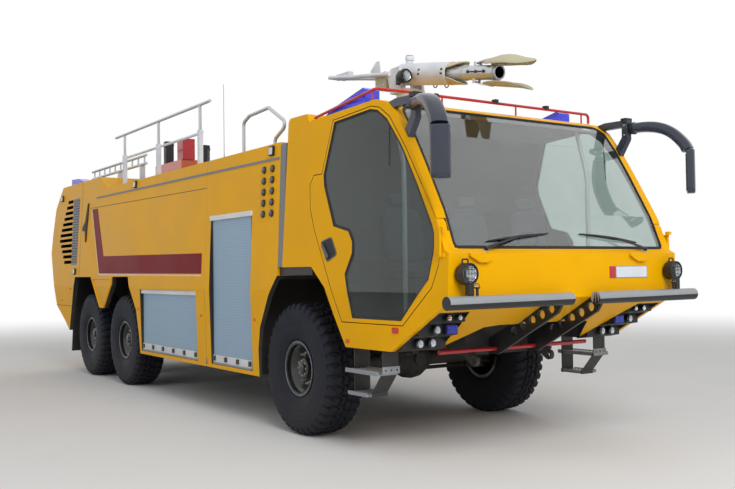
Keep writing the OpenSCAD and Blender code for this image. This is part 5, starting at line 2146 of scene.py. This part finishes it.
@dataclass
class Monitor(Assembly):
    """Roof monitor's details: gear case, fin, sight and lamp, cowl, cap, rings and leaves."""

    axis: Place = MONITOR_AXIS
    droop: float = MONITOR_DROOP
    gear: Line = (
        (-0.430, -0.100), (-0.400, -0.125), (-0.230, -0.125), (-0.215, -0.100),
        (-0.215, 0.050), (-0.235, 0.065), (-0.400, 0.065), (-0.430, 0.040))
    fin: Line = (
        (-0.722, 0.165), (-0.600, 0.260), (-0.535, 0.262), (-0.507, 0.110), (-0.545, 0.066),
        (-0.590, 0.066))
    sight: Line = (
        (-1.430, 0.262), (-1.430, 0.224), (-1.390, 0.218), (-1.150, 0.176), (-1.140, 0.256))
    lamp_arm: Line = ((0.060, -0.040), (0.060, -0.150), (0.150, -0.130), (0.200, -0.100),
        (0.200, -0.060))
    collars: tuple[tuple[float, float, float, int], ...] = (
        (1.007, 0.0765, 0.012, 1), (1.477, 0.0765, 0.012, 1),
        (0.007, 0.1193, 0.006, 0), (0.792, 0.1193, 0.006, 0))
    cowl: Pair = (0.1095, 0.1185)
    cowl_start: float = 0.745
    cowl_angle: float = 66
    hinge: Line = ((1.190, 0.087), (1.250, 0.104), (1.330, 0.118), (1.420, 0.128))
    leaf: Line = (
        (1.330, 0.45), (1.420, 0.72), (1.540, 0.96), (1.640, 1.0), (1.760, 0.88), (1.880, 0.60),
        (1.960, 0.32), (2.000, 0.10))
    upper_line: Line = ((1.330, 0.118), (1.640, 0.176), (2.000, 0.094))
    lower_line: Line = ((1.330, 0.118), (1.560, 0.130), (2.000, 0.150))
    bolt: Line = ((0.014, 0), (0.012, 0.006))
    filler: Line = ((0.040, 0.112), (0.040, 0.150), (0.050, 0.156), (0.050, 0.192), (0.044, 0.201),
        (0, 0.203))
    filler_top: Line = ((0.041, 0.2025), (0.038, 0.208), (0, 0.209))
    knob: Line = ((0.016, 0), (0.016, 0.014), (0.010, 0.018))

    def placed(self, points: Sequence[Sequence[float]]) -> Array:
        """Outline relative to the monitor's axis, as stations."""
        return np.array(points) + [self.axis[0], self.axis[2]]

    def turret(self) -> Shape:
        """Gear case, fin on its rod, sight with its ledge, and the lamp's bracket.

        Returns:
            The shape.
        """
        x, _, z = self.axis
        shape = Shape()
        shape.slab(self.placed(self.gear), -0.137, 0.137, plane_at(0.0), 0)
        for y in (-0.137, 0.137):
            for a in (-0.380, -0.260):
                shape.lathe(self.bolt, [x + a, y, z - 0.08], (0, math.copysign(1, y), 0), 8, 3)
        shape.slab(self.placed(self.fin), -0.005, 0.005, plane_at(0.0), 1)
        shape.slab(self.placed(self.sight), -0.036, 0.036, plane_at(0.0), 1)
        shape.box((x - 1.400, -0.070, z + 0.190), (x - 1.180, 0.070, z + 0.212), slot=1)
        shape.box((x - 1.425, -0.012, z + 0.240), (x - 1.404, 0.012, z + 0.2665), slot=2)
        shape.tube([[x - 0.570, y, z + 0.076] for y in (-0.155, 0.155)], 0.016, slot=1)
        shape.slab(self.placed(self.lamp_arm), 0.0, 0.041, plane_at(-0.206), 2)
        return shape

    def lamp(self) -> Shape:
        """Round lamp beside the yoke.

        Returns:
            The shape.
        """
        shape = Shape()
        round_lamp(shape, (self.axis[0] + 0.260, -0.215, self.axis[2] - 0.087), FORWARD,
                   0.070, 0.074)
        return shape

    def barrel(self) -> Shape:
        """Collars, cowl leaves, filler cap, lifting rings, vents and the nozzle's fittings.

        All is made along the barrel's own line and then turned by its droop.

        Returns:
            The shape.
        """
        shape = Shape()
        o = np.array(self.axis)
        turn = np.linspace(0, 2 * np.pi, 48, endpoint=False)
        for d, r, thick, slot in self.collars:
            ring = np.stack([o[0] + d + 0 * turn, r * np.cos(turn), o[2] + r * np.sin(turn)], -1)
            shape.sweep(rectangle(thick, 0.034 if slot else 0.014), ring, FORWARD,
                        closed=True, slot=slot)
        t = np.linspace(-1, 1, 25)
        angle = t * math.radians(self.cowl_angle)
        (inner, outer), back = self.cowl, self.cowl_start + 0 * t
        reach = 0.815 + 0.215 * np.cos(t * np.pi / 2) ** 0.8
        for up in (1.0, -1.0):
            rings = [np.stack([o[0] + d, o[1] + r * np.sin(angle), o[2] + up * r * np.cos(angle)],
                              -1) for r, d in ((inner, back), (outer, back), (outer, reach),
                                               (inner, reach))]
            shape.grid(np.stack(rings, 1), ring=True, slot=2)
        shape.lathe(self.filler, o + [0.02, 0, 0], UP, 32, 0)
        shape.lathe(self.filler_top, o + [0.02, 0, 0], UP, 32, 3)
        bend = np.radians(np.linspace(190, 350, 15))
        for d in (0.526, 0.718):
            path = np.stack([o[0] + d + 0.032 * np.cos(bend), 0 * bend,
                             o[2] - 0.114 + 0.032 * np.sin(bend)], -1)
            shape.sweep(circle(0.006, 8), path, LEFT, slot=4)

        def skin(side: float) -> Surface:
            """Side of the shroud, as a surface over distance and height along the round.

            Args:
                side: 1 on the left, -1 on the right.

            Returns:
                A function that gives places from two coordinates and a height.
            """
            def surface(d: Array, v: Array, height: Array) -> Array:
                """Point at a distance and an arc length, moved outwards."""
                r, a = 0.120 + height, v / 0.120
                return np.stack([o[0] + d, side * r * np.cos(a), o[2] + r * np.sin(a)], -1)
            return surface

        for side in (-1.0, 1.0):
            for d in (0.390, 0.780):
                slot = rounded(rectangle(0.034, 0.066) + [d - 0.03, 0.010], 0.010, 4)
                shape.slab(slot, CLEAR, 0.003, skin(side), 4)
            rod = [[o[0] + d, side * 0.082, o[2] + 0.004] for d in (1.120, 1.380)]
            shape.tube(rod, 0.006, slot=4)
            for d in (1.130, 1.250, 1.370):
                shape.lathe(self.knob, [o[0] + d, side * 0.072, o[2] + 0.004], (0, side, 0), 12, 4)
        shape.turned(turn_y(self.droop), o)
        return shape

    def deflector(self, line: Sequence[Sequence[float]], width: float, sag: float,
                  up: float) -> Shape:
        """Arched leaf that narrows to its tip, with its hinge strap.

        Along the barrel the middle line and the half width are smooth curves through a few
        points. Across, the leaf arches towards the stream as the square of the distance
        from its middle, by the sag at its edges. A thin closed sheet is made of both faces.

        Args:
            line: distance and height of the middle line.
            width: half width at the widest place.
            sag: how far its edges arch at the widest place.
            up: 1 above the barrel, -1 below.

        Returns:
            The leaf's shape.
        """
        o = np.array(self.axis)
        curve = rounded(line, 0.16, 14, closed=False)
        leaf = rounded(self.leaf, 0.05, 5, closed=False)
        d = np.linspace(1.330, 2.000, 40)
        middle = np.interp(d, curve[:, 0], curve[:, 1])
        half = width * np.interp(d, leaf[:, 0], leaf[:, 1])
        t = np.linspace(-1, 1, 17)
        y = half[:, None] * t
        arch = sag * (half[:, None] / width) * t ** 2
        curl = 0.012 * np.exp(-((d - 2.0) / 0.10) ** 2)[:, None]
        z = middle[:, None] - arch + curl
        rows = [np.concatenate([y, y[:, ::-1]], 1), np.concatenate([z, z[:, ::-1] + 0.010], 1)]
        grid = np.stack([o[0] + d[:, None] + 0 * rows[0], rows[0], o[2] + up * rows[1]], -1)
        shape = Shape()
        shape.grid(grid, ring=True)
        hinge = np.array(self.hinge)
        strap = np.c_[o[0] + hinge[:, 0], np.zeros(4), o[2] + up * (hinge[:, 1] + 0.0055)]
        shape.sweep(rectangle(0.011, 0.060), strap, LEFT, slot=1)
        shape.tube([[o[0] + 1.190, y, o[2] + up * 0.092] for y in (-0.043, 0.043)], 0.010, slot=1)
        shape.turned(turn_y(self.droop), o)
        return shape

    def build(self) -> None:
        """Builds the monitor's pieces, each on the body that carries it."""
        p = self.paints
        piece("monitor_gear_and_sight", self.turret(), [p.cream, p.white, p.black, p.steel],
              "monitor_turret", bevel=0.006)
        piece("monitor_lamp", self.lamp(), [p.black, p.chrome, p.lens, p.orange],
              "monitor_turret")
        piece("monitor_fittings", self.barrel(), [p.white, p.silver, p.cream, p.red, p.black],
              "monitor_barrel")
        for name, line, width, sag, up in (
                ("upper", self.upper_line, 0.118, 0.086, 1.0),
                ("lower", self.lower_line, 0.092, 0.044, -1.0)):
            piece(f"deflector_leaf_{name}", self.deflector(line, width, sag, up),
                  [p.cream, p.steel], f"deflector_{name}",
                  replaces=[f"deflector_{name}"])


@dataclass
class RoofFittings(Assembly):
    """Whip aerial, lamp glasses on the roof boxes and heads of the spray pipes."""

    aerial: Place = (-2.580, -1.000, 3.0205)
    aerial_top: float = 4.095
    heads: Pair = (0.070, 0.768)
    lamps: Line = ((-4.475, 3.540), (-3.200, 3.330))
    horn: Line = ((0, 0), (0.024, 0.002), (0.024, 0.036), (0, 0.040))

    def build(self) -> None:
        """Builds the small pieces on the roof."""
        p = self.paints
        shape = Shape()
        x, y, z = self.aerial
        shape.lathe([[0.030, 0], [0.028, 0.020], [0.014, 0.060], [0.006, 0.110], [0.0035, 0.200],
                     [0.0025, self.aerial_top - z]], self.aerial, UP, 10, 0)
        for y in self.heads:
            shape.box((1.373, y - 0.024, 3.300), (1.425, y + 0.024, 3.334), slot=0)
        shape.lathe(self.horn, [1.395, -0.690, 3.300], LEFT, 20, 0)
        for x, z in self.lamps:
            for side in (-1.0, 1.0):
                round_lamp(shape, (x, -1.000 + side * 0.0605, z), (0, side, 0), 0.040, 0.0)
        piece("roof_fittings", shape, [p.black, p.chrome, p.lens, p.orange], "truck",
              bevel=0.002)


# ---------------------------------------------------------------- light and camera


@dataclass(frozen=True)
class View:
    """The photograph's own viewpoint."""

    place: Place = (11.205, -5.927, 1.657)
    heading: float = 145.879
    pitch: float = 1.691
    roll: float = -0.789
    focal: float = 892.912
    width: int = 735
    sensor: float = 36.0
    clip_end: float = 400.0

    def build(self) -> None:
        """Creates the camera, turned by heading, pitch and roll, and makes it the scene's own."""
        yaw, pitch, roll = (math.radians(v) for v in (self.heading, self.pitch, self.roll))
        ahead = np.array([math.cos(yaw) * math.cos(pitch), math.sin(yaw) * math.cos(pitch),
                          math.sin(pitch)])
        right = np.array([math.sin(yaw), -math.cos(yaw), 0.0])
        up = np.cross(right, ahead)
        side = math.cos(roll) * right + math.sin(roll) * up
        top = -math.sin(roll) * right + math.cos(roll) * up
        data = bpy.data.cameras.new("photo_view")
        data.sensor_width = self.sensor
        data.lens = self.focal / self.width * self.sensor
        data.clip_end = self.clip_end
        camera = bpy.data.objects.new("photo_view", data)
        turn = Matrix([[*row] for row in np.stack([side, top, -ahead], 1).tolist()])
        camera.matrix_world = Matrix.Translation(self.place) @ turn.to_4x4()
        bpy.context.scene.collection.objects.link(camera)
        bpy.context.scene.camera = camera


@dataclass
class Studio:
    """Pale floor, soft lamps and a white surround."""

    floor_size: float = 90.0
    floor_tones: tuple[Colour, Colour] = ((0.77, 0.77, 0.765, 1), (0.79, 0.79, 0.785, 1))
    ambient: float = 0.38
    fade: Pair = (9.0, 24.0)
    aim: Place = (1.0, 0.0, 1.5)
    lamps: tuple[tuple[str, Place, float, float], ...] = (
        ("front_lamp", (17.0, -4.0, 11.0), 10.0, 1900.0),
        ("side_lamp", (0.0, -19.0, 12.0), 13.0, 480.0),
        ("back_lamp", (-14.0, 13.0, 12.0), 12.0, 700.0))

    def floor(self) -> None:
        """Lays a pale floor that fades to the surround far away."""
        size = self.floor_size
        mesh = bpy.data.meshes.new("floor")
        mesh.from_pydata([(-size, -size, 0), (size, -size, 0), (size, size, 0),
                          (-size, size, 0)], [], [(0, 1, 2, 3)])
        floor = bpy.data.objects.new("floor", mesh)
        bpy.context.scene.collection.objects.link(floor)
        material, w, place = new_material("pale_floor")
        tone = w.mix(w.ramp(w.noise(place, 0.6, 4.0), 0.3, 0.7), *self.floor_tones)
        shader = w.node("ShaderNodeBsdfPrincipled", {"Base Color": tone, "Roughness": 0.9})
        glow = w.node("ShaderNodeEmission", {"Color": (1, 1, 1, 1), "Strength": 1.0})
        away = w.node("ShaderNodeVectorMath", {0: place}, operation="LENGTH")
        far = w.ramp(away.outputs[1], *self.fade)
        seen = w.node("ShaderNodeLightPath").outputs["Is Camera Ray"]
        both = w.node("ShaderNodeMixShader", {0: w.math("MULTIPLY", far, seen),
                                              1: shader.outputs[0], 2: glow.outputs[0]})
        w.node("ShaderNodeOutputMaterial", {"Surface": both.outputs[0]})
        mesh.materials.append(material)

    def world(self) -> None:
        """White surround for the camera, gloss and glass, and a soft even light besides."""
        world = bpy.data.worlds.new("surround")
        bpy.context.scene.world = world
        world.use_nodes = True
        world.node_tree.nodes.clear()
        w = Wiring(world.node_tree)
        path = w.node("ShaderNodeLightPath")
        seen = w.math("MAXIMUM", path.outputs["Is Camera Ray"], path.outputs["Is Glossy Ray"])
        seen = w.math("MAXIMUM", seen, path.outputs["Is Transmission Ray"])
        strength = w.ramp(seen, 0.0, 1.0, self.ambient, 1.0)
        background = w.node("ShaderNodeBackground", {"Color": (1, 1, 1, 1),
                                                     "Strength": strength})
        w.node("ShaderNodeOutputWorld", {"Surface": background.outputs[0]})

    def build(self) -> None:
        """Sets up floor, surround and lamps."""
        self.floor()
        self.world()
        for name, place, size, power in self.lamps:
            data = bpy.data.lights.new(name, "AREA")
            data.shape = "DISK"
            data.size = size
            data.energy = power
            lamp = bpy.data.objects.new(name, data)
            lamp.location = place
            lamp.visible_glossy = False
            aim = np.array(self.aim) - place
            yaw, flat = math.atan2(aim[1], aim[0]), math.hypot(aim[0], aim[1])
            lamp.rotation_euler = (math.pi / 2 + math.atan2(aim[2], flat), 0, yaw - math.pi / 2)
            bpy.context.scene.collection.objects.link(lamp)
        bpy.context.scene.view_settings.view_transform = "Standard"


# ---------------------------------------------------------------- main


def main() -> None:
    """Builds the truck's looks in order and reports each piece."""
    logging.basicConfig(level=logging.INFO, format="%(message)s")
    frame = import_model()
    View().build()
    Studio().build()
    paints = Paints()
    CadDressing(paints, frame["nodes"]).build()
    for assembly in (Wheels, RollShutters, BodyTrim, RearLights, CabGaiter, FrontFace,
                     FrontLights, Mirrors, CabSteps, DoorTrim, CabInside, Monitor,
                     RoofFittings):
        assembly(paints).build()


if __name__ == "__main__":
    main()
